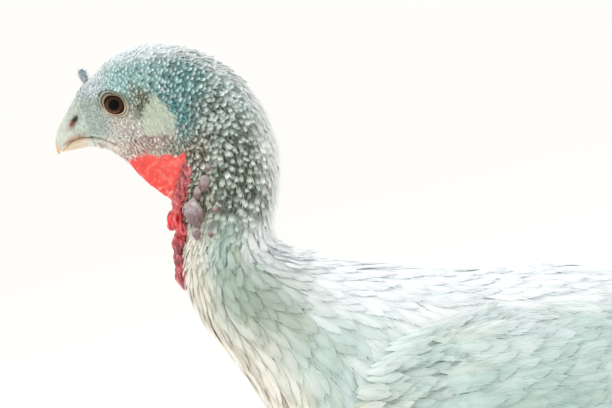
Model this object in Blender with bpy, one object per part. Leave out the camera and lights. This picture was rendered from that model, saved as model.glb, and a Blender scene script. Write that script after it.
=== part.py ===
# A white domestic turkey hen, standing still, at life size.
# Metres, +Z up. The bill points along -X and the left side faces -Y.
# The soles rest at z = 0, and the box of the whole bird is centred on the origin.

import math
import random
from collections import namedtuple

import bmesh
import bpy
import numpy as np

MM = 0.001
GAP = 0.3 * MM
LEFT, RIGHT = -1, 1

# Each station is one slanting cut through head, neck or trunk, from its dorsal
# to its ventral point (millimetres along X and Z), with half the width there.
# pear moves the widest place up (+) or down (-), and web thins the ventral edge.
Station = namedtuple("Station", "dorsal ventral half_width pear web")
STATIONS = [
    Station((-299, 621), (-294, 587.5), 9.0, 0.00, 0.0),
    Station((-293, 626), (-288, 585.5), 12.0, 0.05, 0.0),
    Station((-285.5, 630), (-283, 581.5), 14.5, 0.10, 0.1),
    Station((-277, 635), (-278, 575), 16.5, 0.20, 0.3),
    Station((-268, 639), (-273.5, 566), 17.5, 0.32, 0.5),
    Station((-256, 641), (-267.5, 557), 18.0, 0.40, 0.6),
    Station((-244, 640), (-262, 550), 18.5, 0.40, 0.6),
    Station((-230, 635), (-257.5, 545), 19.0, 0.34, 0.5),
    Station((-218, 628), (-254, 540), 20.0, 0.24, 0.4),
    Station((-206.5, 617.5), (-252, 534), 21.0, 0.15, 0.3),
    Station((-197, 604), (-251.5, 527), 22.0, 0.08, 0.15),
    Station((-190, 587), (-253, 519), 23.0, 0.02, 0.0),
    Station((-187.5, 568), (-256, 511), 24.0, 0.00, 0.0),
    Station((-189, 550), (-258.5, 503), 25.5, 0.00, 0.0),
    Station((-195, 532), (-260.5, 494), 27.0, 0.00, 0.0),
    Station((-202, 517), (-260, 483.5), 29.0, 0.00, 0.0),
    Station((-203, 506), (-257, 469), 32.0, 0.00, 0.0),
    Station((-195, 496), (-251.5, 454), 39.0, -0.02, 0.0),
    Station((-178, 487), (-243, 435), 50.0, -0.05, 0.0),
    Station((-157, 480), (-232, 405), 64.0, -0.08, 0.0),
    Station((-135, 473), (-230, 376), 77.0, -0.10, 0.0),
    Station((-113, 465), (-241, 343), 88.0, -0.12, 0.0),
    Station((-90, 458), (-251, 307), 97.0, -0.12, 0.0),
    Station((-66, 454), (-242, 270), 103.0, -0.12, 0.0),
    Station((-40, 450), (-208, 240), 106.0, -0.10, 0.0),
    Station((-14, 442), (-158, 221), 106.0, -0.08, 0.0),
    Station((10, 432), (-102, 215), 99.0, -0.05, 0.0),
    Station((32, 421), (-48, 223), 90.0, 0.00, 0.0),
    Station((51, 410), (-4, 243), 78.0, 0.04, 0.0),
    Station((66, 400), (30, 271), 66.0, 0.06, 0.0),
    Station((78, 391), (56, 301), 54.0, 0.06, 0.0),
    Station((88, 383), (76, 328), 43.0, 0.06, 0.0),
]
HEAD_END, NECK_MIDDLE, NECK_END = 9.0, 13.5, 18.0
TRUNK_END = len(STATIONS) - 1.0
# Each length of the body: first and last station, ring spacing and points a ring
Length = namedtuple("Length", "start end step sides")
LENGTHS = {
    "head": Length(0.0, HEAD_END, 0.6, 26),
    "neck_upper": Length(HEAD_END, NECK_MIDDLE, 0.5, 26),
    "neck_lower": Length(NECK_MIDDLE, NECK_END, 0.6, 26),
    "trunk": Length(NECK_END, TRUNK_END, 0.75, 30),
}

# Eyes: centre, radius, and the rim of the lids as a stretched ring round them
EYE_X, EYE_Y, EYE_Z = -275.6, 10.2, 610.5
EYE_RADIUS = 8.2
LID_RING, LID_THICKNESS, LID_OUT = 6.9, 1.5, 4.9
LID_STRETCH_X, LID_STRETCH_Z = 1.12, 0.95

# Brow, ear patch, cheek and the hollow before the eye: (x, z), (radii), rise
FACE_RELIEFS = [
    ((-276, 620), (9, 3.5), 1.5),
    ((-251, 599), (9, 11), 1.3),
    ((-268, 597), (9, 4), 0.9),
    ((-287, 606), (4, 7), -1.0),
]

# Line of the mouth behind the bill: x, z, half its height; it is cut from y to y
MOUTH_LINE = [(-296, 594.4, 0.5), (-291, 593.4, 0.5), (-286, 590.2, 0.45), (-281, 586.6, 0.2)]
MOUTH_CUT = (7.0, 22.0)

# Bill: (culmen x, z), (cutting edge x, z), half width
Cut = namedtuple("Cut", "top bottom half_width")
UPPER_BILL = [
    Cut((-299, 620.6), (-295.2, 594.9), 8.8),
    Cut((-303, 616.6), (-299.4, 595.8), 8.2),
    Cut((-308, 611.3), (-304, 595.8), 7.0),
    Cut((-312.4, 606.5), (-308.4, 595), 5.6),
    Cut((-315.8, 601.5), (-312.6, 593.4), 4.1),
    Cut((-317.8, 596.4), (-315.7, 591.3), 2.6),
    Cut((-318.3, 591.6), (-317.4, 589.2), 1.0),
]
LOWER_BILL = [
    Cut((-295.1, 594.3), (-294, 587.6), 8.0),
    Cut((-299.4, 595.2), (-299, 588.9), 7.2),
    Cut((-304, 595.2), (-304, 589.3), 6.0),
    Cut((-308.3, 594.3), (-308.8, 589.4), 4.5),
    Cut((-312, 592.7), (-312.6, 589.7), 3.0),
    Cut((-314.6, 591), (-314.8, 589.7), 1.4),
]
NOSTRIL = (-304.6, 6.9, 606.6)
NOSTRIL_RADII, NOSTRIL_LEAN = (1.7, 2.6, 3.3), 0.5

# Snood on the forehead: x, z and radius, from its root to its end
SNOOD = [
    (-289.0, 622.0, 2.3), (-290.2, 628.0, 2.0), (-291.4, 631.5, 2.4),
    (-292.0, 634.6, 2.2), (-291.9, 636.4, 0.9),
]

# Folded wing: l runs from the wrist back along the wing, m up across it, and
# h outwards from the sheet that the wing's feathers lie on
WING_ORIGIN = (-172.0, 382.0)
WING_SLOPE = math.radians(10.0)
SHEET_L = [-40.0, -15.0, 10.0, 35.0, 60.0, 90.0, 340.0]
SHEET_Y = [91.0, 106.0, 114.0, 117.5, 119.0, 119.0, 67.0]
SHEET_CURVES_FROM, SHEET_CURVE = -20.0, 142.0
ARM_CENTRE, ARM_RADII = (52.0, -2.0), (68.0, 68.0)
ARM_L = [-20.0, 5.0, 30.0, 60.0, 90.0, 120.0]
ARM_H = [-6.0, 0.5, 3.0, 2.0, -1.5, -4.0]
ARM_RINGS, ARM_OUTLINE = (0.45, 0.86, 1.0), 18
ARM_INNER, ARM_RIM_DROP = -24.0, 3.0

# A vane rises out of its root over this length, and is this thick
VANE_RISE = 34.0
VANE_THICKNESS = 0.7

# Tail: l runs back along it, m across it, and h stands up from it
TAIL_ORIGIN = (78.0, 357.0)
TAIL_SLOPE = math.radians(23.0)
# Fleshy root of the tail: start, length, and half width, top and bottom at its ends
TAIL_CORE = (-26.0, 92.0)
TAIL_CORE_HALF_WIDTH, TAIL_CORE_TOP, TAIL_CORE_BOTTOM = (42.0, 28.0), (24.0, 6.0), (-26.0, -21.0)
# Outer feathers of a tier are shorter by this share a pair
TAIL_TAPER = 0.008

# Legs: the hock's x, the level plane where thigh meets shank, and the ankle below
HOCK_X, HOCK_TOP = -62.0, 158.0
LEG_Y, FOOT_Y = 58.0, 59.5
FOOT_X, ANKLE_Z = -96.0, 30.0
ANKLE_RADII = (8.3, 8.1)
# Feathered thigh: x, y, z, radius fore and aft, radius across
THIGH = [
    (-108, 44, 262, 50, 40), (-100, 56, 240, 47, 36), (-88, 61, 214, 37, 29),
    (-76, 61, 190, 25, 20), (-67, 59.5, 170, 15.5, 12.5), (HOCK_X, LEG_Y, HOCK_TOP, 10.5, 9.0),
]
# Shank: radii fore and aft and across at mid length, and how much joint and ankle add
SHANK_RADII, HOCK_SWELL, ANKLE_SWELL = (6.6, 5.6), (3.9, 3.4), (1.9, 2.6)
SHANK_PLATES, PLATE_EDGES = 9, ((0.0, 1.07), (0.80, 0.97))
# Toes: name, heading from straight ahead in degrees (outwards +), length, thickness
# and pads, with the length of the claw
Toe = namedtuple("Toe", "name heading length radius pads claw")
TOES = [
    Toe("inner", -27, 46, 5.2, 2, 14),
    Toe("middle", 3, 66, 5.6, 3, 16),
    Toe("outer", 33, 50, 5.0, 3, 14),
    Toe("hind", 172, 27, 4.2, 1, 11),
]
TOE_ROOT, TOE_TAPER, TOE_PAD_SWELL = 1.18, 0.42, 0.13
TOE_SINK, TOE_ROOT_RISE = 0.72, 4.6
CLAW_ROOT, CLAW_TAPER, CLAW_ARCH, CLAW_DROP = 0.69, 0.86, 1.4, 1.7

COLOURS = {
    "plumage": (0.83, 0.88, 0.85, 1.0),
    "face": (0.32, 0.55, 0.55, 1.0),
    "wattle": (0.62, 0.06, 0.07, 1.0),
    "bill": (0.66, 0.66, 0.55, 1.0),
    "snood": (0.38, 0.50, 0.55, 1.0),
    "eye": (0.10, 0.045, 0.02, 1.0),
    "shank": (0.62, 0.46, 0.40, 1.0),
    "claw": (0.55, 0.45, 0.36, 1.0),
}


def clear_scene():
    for obj in list(bpy.data.objects):
        bpy.data.objects.remove(obj)


def material(name, roughness=0.6):
    mat = bpy.data.materials.get(name) or bpy.data.materials.new(name)
    mat.use_nodes = True
    shader = mat.node_tree.nodes["Principled BSDF"]
    shader.inputs["Base Color"].default_value = COLOURS[name]
    shader.inputs["Roughness"].default_value = roughness
    shader.inputs["Metallic"].default_value = 0.0
    return mat


def smooth_row(rows, t):
    """The row of numbers at place t, on a smooth curve through all the rows."""
    i = int(min(max(math.floor(t), 0), len(rows) - 2))
    f = t - i
    a, b, c, d = (rows[min(max(i + k, 0), len(rows) - 1)] for k in (-1, 0, 1, 2))
    bend = 2 * a - 5 * b + 4 * c - d
    return b + 0.5 * f * (c - a + f * (bend + f * (3 * (b - c) + d - a)))


STATION_ROWS = [
    np.array([*s.dorsal, *s.ventral, s.half_width, s.pear, s.web], float)
    for s in STATIONS
]


def body_ring(t, sides, grow=0.0):
    """The points round the body at station place t, from dorsal round to dorsal."""
    dx, dz, vx, vz, half_width, pear, web = smooth_row(STATION_ROWS, t)
    dorsal, ventral = np.array([dx, dz]) * MM, np.array([vx, vz]) * MM
    chord = dorsal - ventral
    half_chord = np.linalg.norm(chord) / 2 + grow
    up = chord / np.linalg.norm(chord)
    centre = (dorsal + ventral) / 2
    a = 2 * math.pi * np.arange(sides) / sides
    belly = np.clip((-np.cos(a) - 0.1) / 0.75, 0, 1)
    belly = belly * belly * (3 - 2 * belly)
    side = np.sin(a) * (1 + pear * np.cos(a)) * (1 - web * belly)
    side *= (half_width * MM + grow) / np.abs(side).max()
    along = np.cos(a) * half_chord
    return np.stack([centre[0] + up[0] * along, side, centre[1] + up[1] * along], 1)


def facing_of(ring, other):
    """The direction a flat ring faces, on the side where the other ring is."""
    steps = ring[1:] - ring[0]
    normal = np.cross(steps[:-1], steps[1:]).sum(0)
    normal /= np.linalg.norm(normal)
    return normal * math.copysign(1, np.dot(normal, other.mean(0) - ring.mean(0)))


def mesh_object(name, points, faces, colour):
    mesh = bpy.data.meshes.new(name)
    mesh.from_pydata([tuple(p) for p in points], [], [tuple(f) for f in faces])
    bm = bmesh.new()
    bm.from_mesh(mesh)
    bmesh.ops.recalc_face_normals(bm, faces=bm.faces)
    bm.to_mesh(mesh)
    bm.free()
    mesh.materials.append(material(colour))
    obj = bpy.data.objects.new(name, mesh)
    bpy.context.scene.collection.objects.link(obj)
    return obj


def loft(name, rings, colour):
    """One closed solid through rings of equal count, with flat ends."""
    n, m = len(rings), len(rings[0])
    faces = [
        (i * m + j, i * m + (j + 1) % m, (i + 1) * m + (j + 1) % m, (i + 1) * m + j)
        for i in range(n - 1)
        for j in range(m)
    ]
    faces += [tuple(range(m)), tuple((n - 1) * m + j for j in range(m))]
    return mesh_object(name, np.concatenate(rings), faces, colour)


def plate(name, top, bottom, colour):
    """A thin closed sheet between two grids, cut into triangles alike on both faces."""
    rows, cols = top.shape[:2]
    count = rows * cols

    def at(i, j, face):
        return face * count + i * cols + j

    faces = []
    for face in (0, 1):
        for i in range(rows - 1):
            for j in range(cols - 1):
                a, b = at(i, j, face), at(i, j + 1, face)
                c, d = at(i + 1, j + 1, face), at(i + 1, j, face)
                faces += [(a, b, c), (a, c, d)]
    edge = [(i, 0) for i in range(rows)]
    edge += [(rows - 1, j) for j in range(1, cols)]
    edge += [(i, cols - 1) for i in range(rows - 2, -1, -1)]
    edge += [(0, j) for j in range(cols - 2, 0, -1)]
    for (i, j), (k, l) in zip(edge, edge[1:] + edge[:1]):
        a, b, c, d = at(i, j, 0), at(k, l, 0), at(k, l, 1), at(i, j, 1)
        faces += [(a, b, c), (a, c, d)]
    points = np.concatenate([top.reshape(-1, 3), bottom.reshape(-1, 3)])
    return mesh_object(name, points, faces, colour)


def vane_width(f):
    """Width of a feather along its length: narrow root, full body, rounded tip."""
    swell = 0.5 + 0.5 * math.sin(min(f / 0.5, 1) * math.pi / 2)
    return swell * (1 - 0.62 * max(0, (f - 0.75) / 0.25) ** 2)


def shape_vane(place, root, tip, half_width, lift, tilt, sides=(-1, 0, 1)):
    """Top and bottom grids of one feather vane. place turns (l, m, h) into a point,
    lift is (height at the root, height at the tip), and tilt raises the far edge."""
    root, tip = np.array(root, float), np.array(tip, float)
    along = tip - root
    length = np.linalg.norm(along)
    across = np.array([-along[1], along[0]]) / length
    risen = VANE_RISE / length
    top, bottom = [], []
    for f in (0, risen, 0.78, 1):
        height = lift[1] + (lift[0] - lift[1]) * max(0, 1 - f / risen)
        spread = vane_width(f) * half_width
        places = [(*(root + along * f + across * s * spread), height + tilt * s * spread) for s in sides]
        top.append([place(l, m, h) for l, m, h in places])
        bottom.append([place(l, m, h - VANE_THICKNESS) for l, m, h in places])
    return np.array(top), np.array(bottom)


def evaluated_copy(obj):
    bpy.context.view_layer.update()
    graph = bpy.context.evaluated_depsgraph_get()
    return bpy.data.meshes.new_from_object(obj.evaluated_get(graph))


def boolean(obj, others, operation, keep_others=False, solver="EXACT"):
    """Joins or cuts with all the others in one Boolean, applies it, and keeps the
    largest closed surface."""
    group = bpy.data.collections.new("pieces")
    bpy.context.scene.collection.children.link(group)
    for other in others:
        group.objects.link(other)
    modifier = obj.modifiers.new("join", "BOOLEAN")
    modifier.operation = operation
    modifier.operand_type = "COLLECTION"
    modifier.collection = group
    modifier.solver = solver
    mesh = evaluated_copy(obj)
    obj.modifiers.clear()
    obj.data = mesh
    if not keep_others:
        for other in others:
            bpy.data.objects.remove(other)
    bpy.data.collections.remove(group)
    keep_largest(obj)


def islands(bm):
    """The faces of each separate surface of a mesh."""
    seen, found = set(), []
    for face in bm.faces:
        if face in seen:
            continue
        seen.add(face)
        stack, members = [face], []
        while stack:
            f = stack.pop()
            members.append(f)
            for edge in f.edges:
                for g in edge.link_faces:
                    if g not in seen:
                        seen.add(g)
                        stack.append(g)
        found.append(members)
    return found


def keep_largest(obj):
    bm = bmesh.new()
    bm.from_mesh(obj.data)
    groups = sorted(islands(bm), key=lambda g: -sum(f.calc_area() for f in g))
    for group in groups[1:]:
        bmesh.ops.delete(bm, geom=group, context="FACES")
    bm.to_mesh(obj.data)
    bm.free()


def ball(name, centre, radii, colour, lean=0.0, detail=1):
    """A bulb: an icosphere stretched by radii, leaning by an angle about Y."""
    bm = bmesh.new()
    bmesh.ops.create_icosphere(bm, subdivisions=detail, radius=1.0)
    c, s = math.cos(lean), math.sin(lean)
    points = []
    for v in bm.verts:
        x, y, z = v.co.x * radii[0], v.co.y * radii[1], v.co.z * radii[2]
        points.append(
            (
                (centre[0] + c * x + s * z) * MM,
                (centre[1] + y) * MM,
                (centre[2] - s * x + c * z) * MM,
            )
        )
    faces = [[v.index for v in f.verts] for f in bm.faces]
    bm.free()
    return mesh_object(name, points, faces, colour)


def tube(name, path, radii, sides, colour, facing=None):
    """A solid round a path of (x, y, z), with (upright, level) radii at each point.
    facing turns all its rings one way."""
    path = np.array(path, float) * MM
    rings = []
    for i, centre in enumerate(path):
        ahead = path[min(i + 1, len(path) - 1)] - path[max(i - 1, 0)]
        if facing is not None:
            ahead = np.array([*facing, 0.0])
        ahead = ahead / np.linalg.norm(ahead)
        level = np.array([-ahead[1], ahead[0], 0.0])
        if facing is None:
            level = np.array([0.0, 1.0, 0.0])
            level -= ahead * np.dot(level, ahead)
            level /= np.linalg.norm(level)
        other = np.cross(ahead, level)
        a = 2 * math.pi * np.arange(sides) / sides
        ring = (
            centre
            + np.outer(np.cos(a), other) * radii[i][0] * MM
            + np.outer(np.sin(a), level) * radii[i][1] * MM
        )
        rings.append(ring)
    return loft(name, rings, colour)


def body_length(name, colour, grow=0.0):
    """One length of the body. It starts a gap behind the length before it. With grow
    it is a cutter instead, that much larger all round."""
    start, end, step, sides = LENGTHS[name]
    places = np.linspace(start, end, round((end - start) / step) + 1)
    rings = [body_ring(t, sides, grow) for t in places]
    if start > 0 and not grow:
        rings[0] = rings[0] + facing_of(rings[0], rings[1]) * GAP
    rings[-1] = rings[-1] - facing_of(rings[-1], rings[-2]) * grow
    return loft(name + "_cutter" if grow else name, rings, colour)


def face_relief(obj):
    """Raises brow, cheek and ear patch on the head's sides."""
    for v in obj.data.vertices:
        for (x, z), (rx, rz), rise in FACE_RELIEFS:
            d = ((v.co.x / MM - x) / rx) ** 2 + ((v.co.z / MM - z) / rz) ** 2
            v.co.y += math.copysign(rise * math.exp(-d) * MM, v.co.y)


def make_lid(side):
    """The rim of the lids, a ring that is wider than it is high."""
    turns, round_it = 14, 5
    points = []
    for i in range(turns):
        u = 2 * math.pi * i / turns
        for j in range(round_it):
            v = 2 * math.pi * j / round_it
            r = LID_RING + LID_THICKNESS * math.cos(v)
            x = EYE_X + r * math.cos(u) * LID_STRETCH_X
            y = side * (EYE_Y + LID_OUT + LID_THICKNESS * math.sin(v))
            z = EYE_Z + r * math.sin(u) * LID_STRETCH_Z
            points.append((x * MM, y * MM, z * MM))
    faces = []
    for i in range(turns):
        k = (i + 1) % turns
        for j in range(round_it):
            l = (j + 1) % round_it
            ring, following = i * round_it, k * round_it
            faces.append((ring + j, following + j, following + l, ring + l))
    return mesh_object("lid", points, faces, "face")


def mouth_line(side):
    """A shallow slit that carries the bill's cutting edge back to the corner of the mouth."""
    top, bottom = [], []
    for x, z, half in MOUTH_LINE:
        top.append([(x * MM, side * y * MM, (z + half) * MM) for y in MOUTH_CUT])
        bottom.append([(x * MM, side * y * MM, (z - half) * MM) for y in MOUTH_CUT])
    return plate("mouth", np.array(top), np.array(bottom), "face")


def make_head():
    head = body_length("head", "face")
    face_relief(head)
    boolean(head, [make_lid(LEFT), make_lid(RIGHT)], "UNION")
    cutters = []
    socket = EYE_RADIUS + GAP / MM
    for side in (LEFT, RIGHT):
        centre = (EYE_X, side * EYE_Y, EYE_Z)
        cutters.append(ball("socket", centre, (socket,) * 3, "face", detail=3))
        cutters.append(mouth_line(side))
    boolean(head, cutters, "DIFFERENCE")


def make_eyes():
    for side, name in ((LEFT, "eye_left"), (RIGHT, "eye_right")):
        centre = (EYE_X, side * EYE_Y, EYE_Z)
        ball(name, centre, (EYE_RADIUS,) * 3, "eye", detail=3)


def bill_rings(cuts, sides, flat_top):
    """Arched rings of a bill half. The flat side faces the mouth."""
    rings = []
    for cut in cuts:
        top, bottom = np.array(cut.top), np.array(cut.bottom)
        ring = []
        for j in range(sides):
            a = math.pi * j / (sides - 1)
            y = cut.half_width * math.cos(a)
            rise = math.sin(a) ** 0.8
            middle = bottom + (top - bottom) * rise
            if flat_top:
                middle = top + (bottom - top) * rise
            ring.append((middle[0], y, middle[1]))
        rings.append(np.array(ring) * MM)
    rings[0] = rings[0] + facing_of(rings[0], rings[1]) * GAP
    return rings


def make_bill():
    upper = loft("bill_upper", bill_rings(UPPER_BILL, 11, False), "bill")
    pits = []
    for side in (LEFT, RIGHT):
        centre = (NOSTRIL[0], side * NOSTRIL[1], NOSTRIL[2])
        pits.append(ball("pit", centre, NOSTRIL_RADII, "bill", NOSTRIL_LEAN))
    boolean(upper, pits, "DIFFERENCE")
    loft("bill_lower", bill_rings(LOWER_BILL, 9, True), "bill")


def make_snood(cutter):
    """The small fleshy nub on the forehead, thicker towards its end."""
    path = [(x, 0, z) for x, z, _ in SNOOD]
    snood = tube("snood", path, [(r, r) for _, _, r in SNOOD], 10, "snood")
    boolean(snood, [cutter], "DIFFERENCE", keep_others=True)


# Caruncles on each side of the neck: x, y, z, half width, half height and lean
CARUNCLES = [
    (-244.3, 20.0, 535.0, 6.0, 8.4, 0.10),
    (-236.0, 21.5, 547.5, 3.6, 5.2, 0.30),
    (-241.5, 20.0, 555.0, 2.9, 4.2, 0.35),
    (-229.5, 22.5, 541.0, 2.8, 4.4, 0.20),
    (-233.0, 23.0, 529.5, 3.2, 4.2, -0.20),
    (-248.0, 17.5, 521.0, 4.0, 5.4, 0.15),
    (-238.5, 23.0, 519.0, 3.4, 4.4, -0.10),
]


def make_neck():
    upper = body_length("neck_upper", "face")
    body_length("neck_lower", "plumage")
    picker = random.Random(7)
    bulbs = []
    for side in (LEFT, RIGHT):
        for x, y, z, width, height, lean in CARUNCLES:
            size = picker.uniform(0.88, 1.12) if side == RIGHT else 1.0
            radii = (width * size, 4.4 * size, height * size)
            bulbs.append(ball("bulb", (x, side * y, z), radii, "face", lean, 2))
    boolean(upper, bulbs, "UNION")
    trim_to(upper, HEAD_END, NECK_MIDDLE)


def trim_to(obj, start, end):
    """Cuts away what bulges past a length's two flat ends."""
    wider, depth, sides = 1.8, 30 * MM, 24
    cutters = []
    for place, sign in ((start, -1), (end, 1)):
        ring = body_ring(place, sides)
        normal = facing_of(ring, body_ring(place + 0.05, sides))
        near = ring.mean(0) + (ring - ring.mean(0)) * wider
        if sign < 0:
            near = near + normal * GAP
        cutters.append(loft("trim", [near, near + sign * normal * depth], "face"))
    boolean(obj, cutters, "DIFFERENCE")


# Lobes of the wattle, from the throat down: x, y, z, radii and lean
WATTLE_LOBES = [
    (-246.0, 0.0, 551.0, 4.2, 4.4, 8.5, 0.60),
    (-252.5, 0.0, 541.5, 4.8, 5.4, 9.5, 0.50),
    (-258.0, 0.0, 532.5, 4.9, 5.4, 7.5, 0.40),
    (-255.0, 0.8, 525.0, 4.4, 5.6, 6.0, 0.00),
    (-259.0, 1.4, 516.5, 4.5, 6.2, 8.0, 0.15),
    (-261.0, -1.4, 507.0, 4.3, 6.0, 7.0, 0.05),
    (-262.0, 0.4, 496.5, 4.6, 6.2, 8.0, -0.10),
]


def make_wattle(cutters):
    """The red lobes that hang where throat and neck meet, down the front of the neck."""
    balls = [
        ball("lobe", (x, y, z), (rx, ry, rz), "wattle", lean, 2)
        for x, y, z, rx, ry, rz, lean in WATTLE_LOBES
    ]
    wattle = balls[0]
    wattle.name = "wattle"
    boolean(wattle, balls[1:], "UNION")
    boolean(wattle, cutters, "DIFFERENCE", keep_others=True)


def wing_place(side):
    """Turns wing places (l, m, height over the wing's sheet) into points of one side."""
    c, s = math.cos(WING_SLOPE), math.sin(WING_SLOPE)

    def place(l, m, h):
        x = WING_ORIGIN[0] + c * l + s * m
        z = WING_ORIGIN[1] - s * l + c * m
        fall = 1 - (max(0, m - SHEET_CURVES_FROM) / SHEET_CURVE) ** 2
        y = float(np.interp(l, SHEET_L, SHEET_Y)) * fall
        return (x * MM, side * (y + h) * MM, z * MM)

    return place


# Rows of the folded wing, from the lowest layer to the highest: how many feathers,
# root and tip (l, m) of the first, the same of the last, half width, height over the
# sheet at root and tip, tilt that lays each lower edge over the next feather down,
# and how much each feather lies higher than the last.
WingRow = namedtuple("WingRow", "name count first last half_width lift tilt step")
WING_ROWS = [
    WingRow(
        "primary", 6, ((104, -48), (262, -62)), ((104, -36), (326, -42)),
        11, (-10.3, -10.4), 0.0, 0.97,
    ),
    WingRow(
        "secondary", 9, ((94, -50), (226, -74)), ((94, 34), (284, 8)),
        13.5, (-4.5, -2.6), -0.115, 0.0,
    ),
    WingRow(
        "tertial", 3, ((82, 36), (214, 18)), ((78, 52), (250, 38)),
        17, (-3, 1.4), -0.20, 0.0,
    ),
    WingRow(
        "greater_covert", 7, ((64, -52), (136, -66)), ((64, 14), (150, 0)),
        12.5, (-3, 1.3), -0.115, 0.0,
    ),
    WingRow(
        "median_covert", 7, ((30, -48), (88, -58)), ((30, 22), (98, 14)),
        12, (-1, 5.0), -0.115, 0.0,
    ),
    WingRow(
        "scapular", 3, ((30, 44), (118, 40)), ((30, 61), (174, 58)),
        14.5, (-1, 5.4), -0.19, 0.0,
    ),
]


def make_wing(side, name, cutter):
    """A folded wing: the fleshy arm, cut to lie on the trunk, and its rows of feathers."""
    place = wing_place(side)
    top, bottom = [], []
    for ring in ARM_RINGS:
        top_row, bottom_row = [], []
        for k in range(ARM_OUTLINE):
            a = 2 * math.pi * k / ARM_OUTLINE
            l = ARM_CENTRE[0] + ARM_RADII[0] * ring * math.cos(a)
            m = ARM_CENTRE[1] + ARM_RADII[1] * ring * math.sin(a)
            h = float(np.interp(l, ARM_L, ARM_H))
            if ring == ARM_RINGS[-1]:
                h -= ARM_RIM_DROP
            top_row.append(place(l, m, h))
            bottom_row.append(place(l, m, ARM_INNER))
        top.append(top_row)
        bottom.append(bottom_row)
    arm = shell(name, np.array(top), np.array(bottom), "plumage")
    boolean(arm, [cutter], "DIFFERENCE", keep_others=True)
    vanes = []
    for row in WING_ROWS:
        first, last = np.array(row.first), np.array(row.last)
        for i in range(row.count):
            root, tip = first + (last - first) * i / (row.count - 1)
            lift = [h + row.step * i for h in row.lift]
            grids = shape_vane(place, root, tip, row.half_width, lift, row.tilt)
            vanes.append(plate(row.name, *grids, "plumage"))
    boolean(arm, vanes, "UNION", solver="MANIFOLD")


def shell(name, top, bottom, colour):
    """A closed lens from rings of points that close round on themselves."""
    rings, count = top.shape[:2]
    points = np.concatenate([top.reshape(-1, 3), bottom.reshape(-1, 3)])
    offset = rings * count
    faces = []
    for base in (0, offset):
        faces.append(tuple(base + k for k in range(count)))
        for i in range(rings - 1):
            for k in range(count):
                n = (k + 1) % count
                a, b = base + i * count + k, base + i * count + n
                c, d = base + (i + 1) * count + n, base + (i + 1) * count + k
                faces += [(a, b, c), (a, c, d)]
    last = (rings - 1) * count
    for k in range(count):
        n = (k + 1) % count
        faces.append((last + k, last + n, offset + last + n, offset + last + k))
    return mesh_object(name, points, faces, colour)


def tail_place(l, m, h):
    """Turns tail places (back, across, up) into points."""
    c, s = math.cos(TAIL_SLOPE), math.sin(TAIL_SLOPE)
    return ((TAIL_ORIGIN[0] + c * l + s * h) * MM, m * MM, (TAIL_ORIGIN[1] - s * l + c * h) * MM)


# Tiers of the tail: pairs, start and length along it, root pitch across it, fan step in
# degrees, half width, height at root and tip, drop from each feather to the next, and
# how fast the outer feathers slope down like a roof
TailTier = namedtuple("TailTier", "name pairs start length pitch fan half_width lift drop roof")
TAIL_TIERS = [
    TailTier("rectrix", 9, 30, 240, 2.4, 0.95, 17, (3, 4), 1.25, 0.001),
    TailTier("upper_covert", 3, 16, 132, 8.0, 2.2, 14, (10, 12.6), 1.2, 0.005),
    TailTier("rump_covert", 2, 8, 88, 9.0, 3.0, 14, (15, 18.9), 1.2, 0.005),
    TailTier("under_covert", 2, 16, 112, 9.0, 2.0, 15, (-23.5, -25.5), -1.05, 0.0),
]


def make_tail(cutter):
    """The closed tail: its fleshy root, cut to lie on the trunk, and its tiers of feathers."""
    rings = []
    for f in np.linspace(0, 1, 5):
        half_width, up, down = (
            a + (b - a) * f for a, b in (TAIL_CORE_HALF_WIDTH, TAIL_CORE_TOP, TAIL_CORE_BOTTOM)
        )
        middle, half_height = (up + down) / 2, (up - down) / 2
        ring = []
        for b in 2 * math.pi * np.arange(16) / 16:
            across, over = half_width * math.sin(b), middle + half_height * math.cos(b)
            ring.append(tail_place(TAIL_CORE[0] + TAIL_CORE[1] * f, across, over))
        rings.append(np.array(ring))
    core = loft("tail", rings, "plumage")
    boolean(core, [cutter], "DIFFERENCE", keep_others=True)
    vanes = []
    for tier in TAIL_TIERS:
        for k in range(tier.pairs):
            for side in (LEFT, RIGHT):
                sunk = tier.drop * (2 * k + (side == RIGHT))
                angle = math.radians(tier.fan * (k + 0.5)) * side
                root_m = side * tier.pitch * (k + 0.5)
                reach = tier.length * (1 - TAIL_TAPER * k)
                tip_m = root_m + reach * math.sin(angle)
                lift = (tier.lift[0] - sunk, tier.lift[1] - sunk - tier.roof * tip_m**2)
                root, tip = (tier.start, root_m), (tier.start + reach * math.cos(angle), tip_m)
                tilt = -2 * tier.roof * root_m
                grids = shape_vane(tail_place, root, tip, tier.half_width, lift, tilt, (-1, 1))
                vanes.append(plate(tier.name, *grids, "plumage"))
    boolean(core, vanes, "UNION", solver="MANIFOLD")


def make_thigh(side, name, cutter):
    path = [(x, side * y, z) for x, y, z, _, _ in THIGH]
    thigh = tube(name, path, [row[3:] for row in THIGH], 20, "plumage")
    level_end(thigh, slice(-20, None), HOCK_TOP)
    boolean(thigh, [cutter], "DIFFERENCE", keep_others=True)


def make_shank(side, name):
    """The scaly shank, with plates that step down its front."""
    top, foot = np.array([HOCK_X, HOCK_TOP]), np.array([FOOT_X, ANKLE_Z])
    path, radii = [], []
    for i in range(SHANK_PLATES):
        for edge, swell in PLATE_EDGES:
            f = (i + edge) / SHANK_PLATES
            joint = math.exp(-((f / 0.09 - 0.45) ** 2))
            ankle = math.exp(-(((f - 1.0) / 0.12) ** 2))
            x, z = top + (foot - top) * f
            path.append((x, side * (LEG_Y + (FOOT_Y - LEG_Y) * f), z))
            radii.append([
                (middle + joint * hock_add + ankle * ankle_add) * (swell if f else 1.0)
                for middle, hock_add, ankle_add in zip(SHANK_RADII, HOCK_SWELL, ANKLE_SWELL)
            ])
    path.append((FOOT_X, side * FOOT_Y, ANKLE_Z))
    radii.append(ANKLE_RADII)
    shank = tube(name, path, radii, 10, "shank")
    level_end(shank, slice(0, 10), HOCK_TOP - GAP / MM)
    level_end(shank, slice(-10, None), ANKLE_Z)


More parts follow.
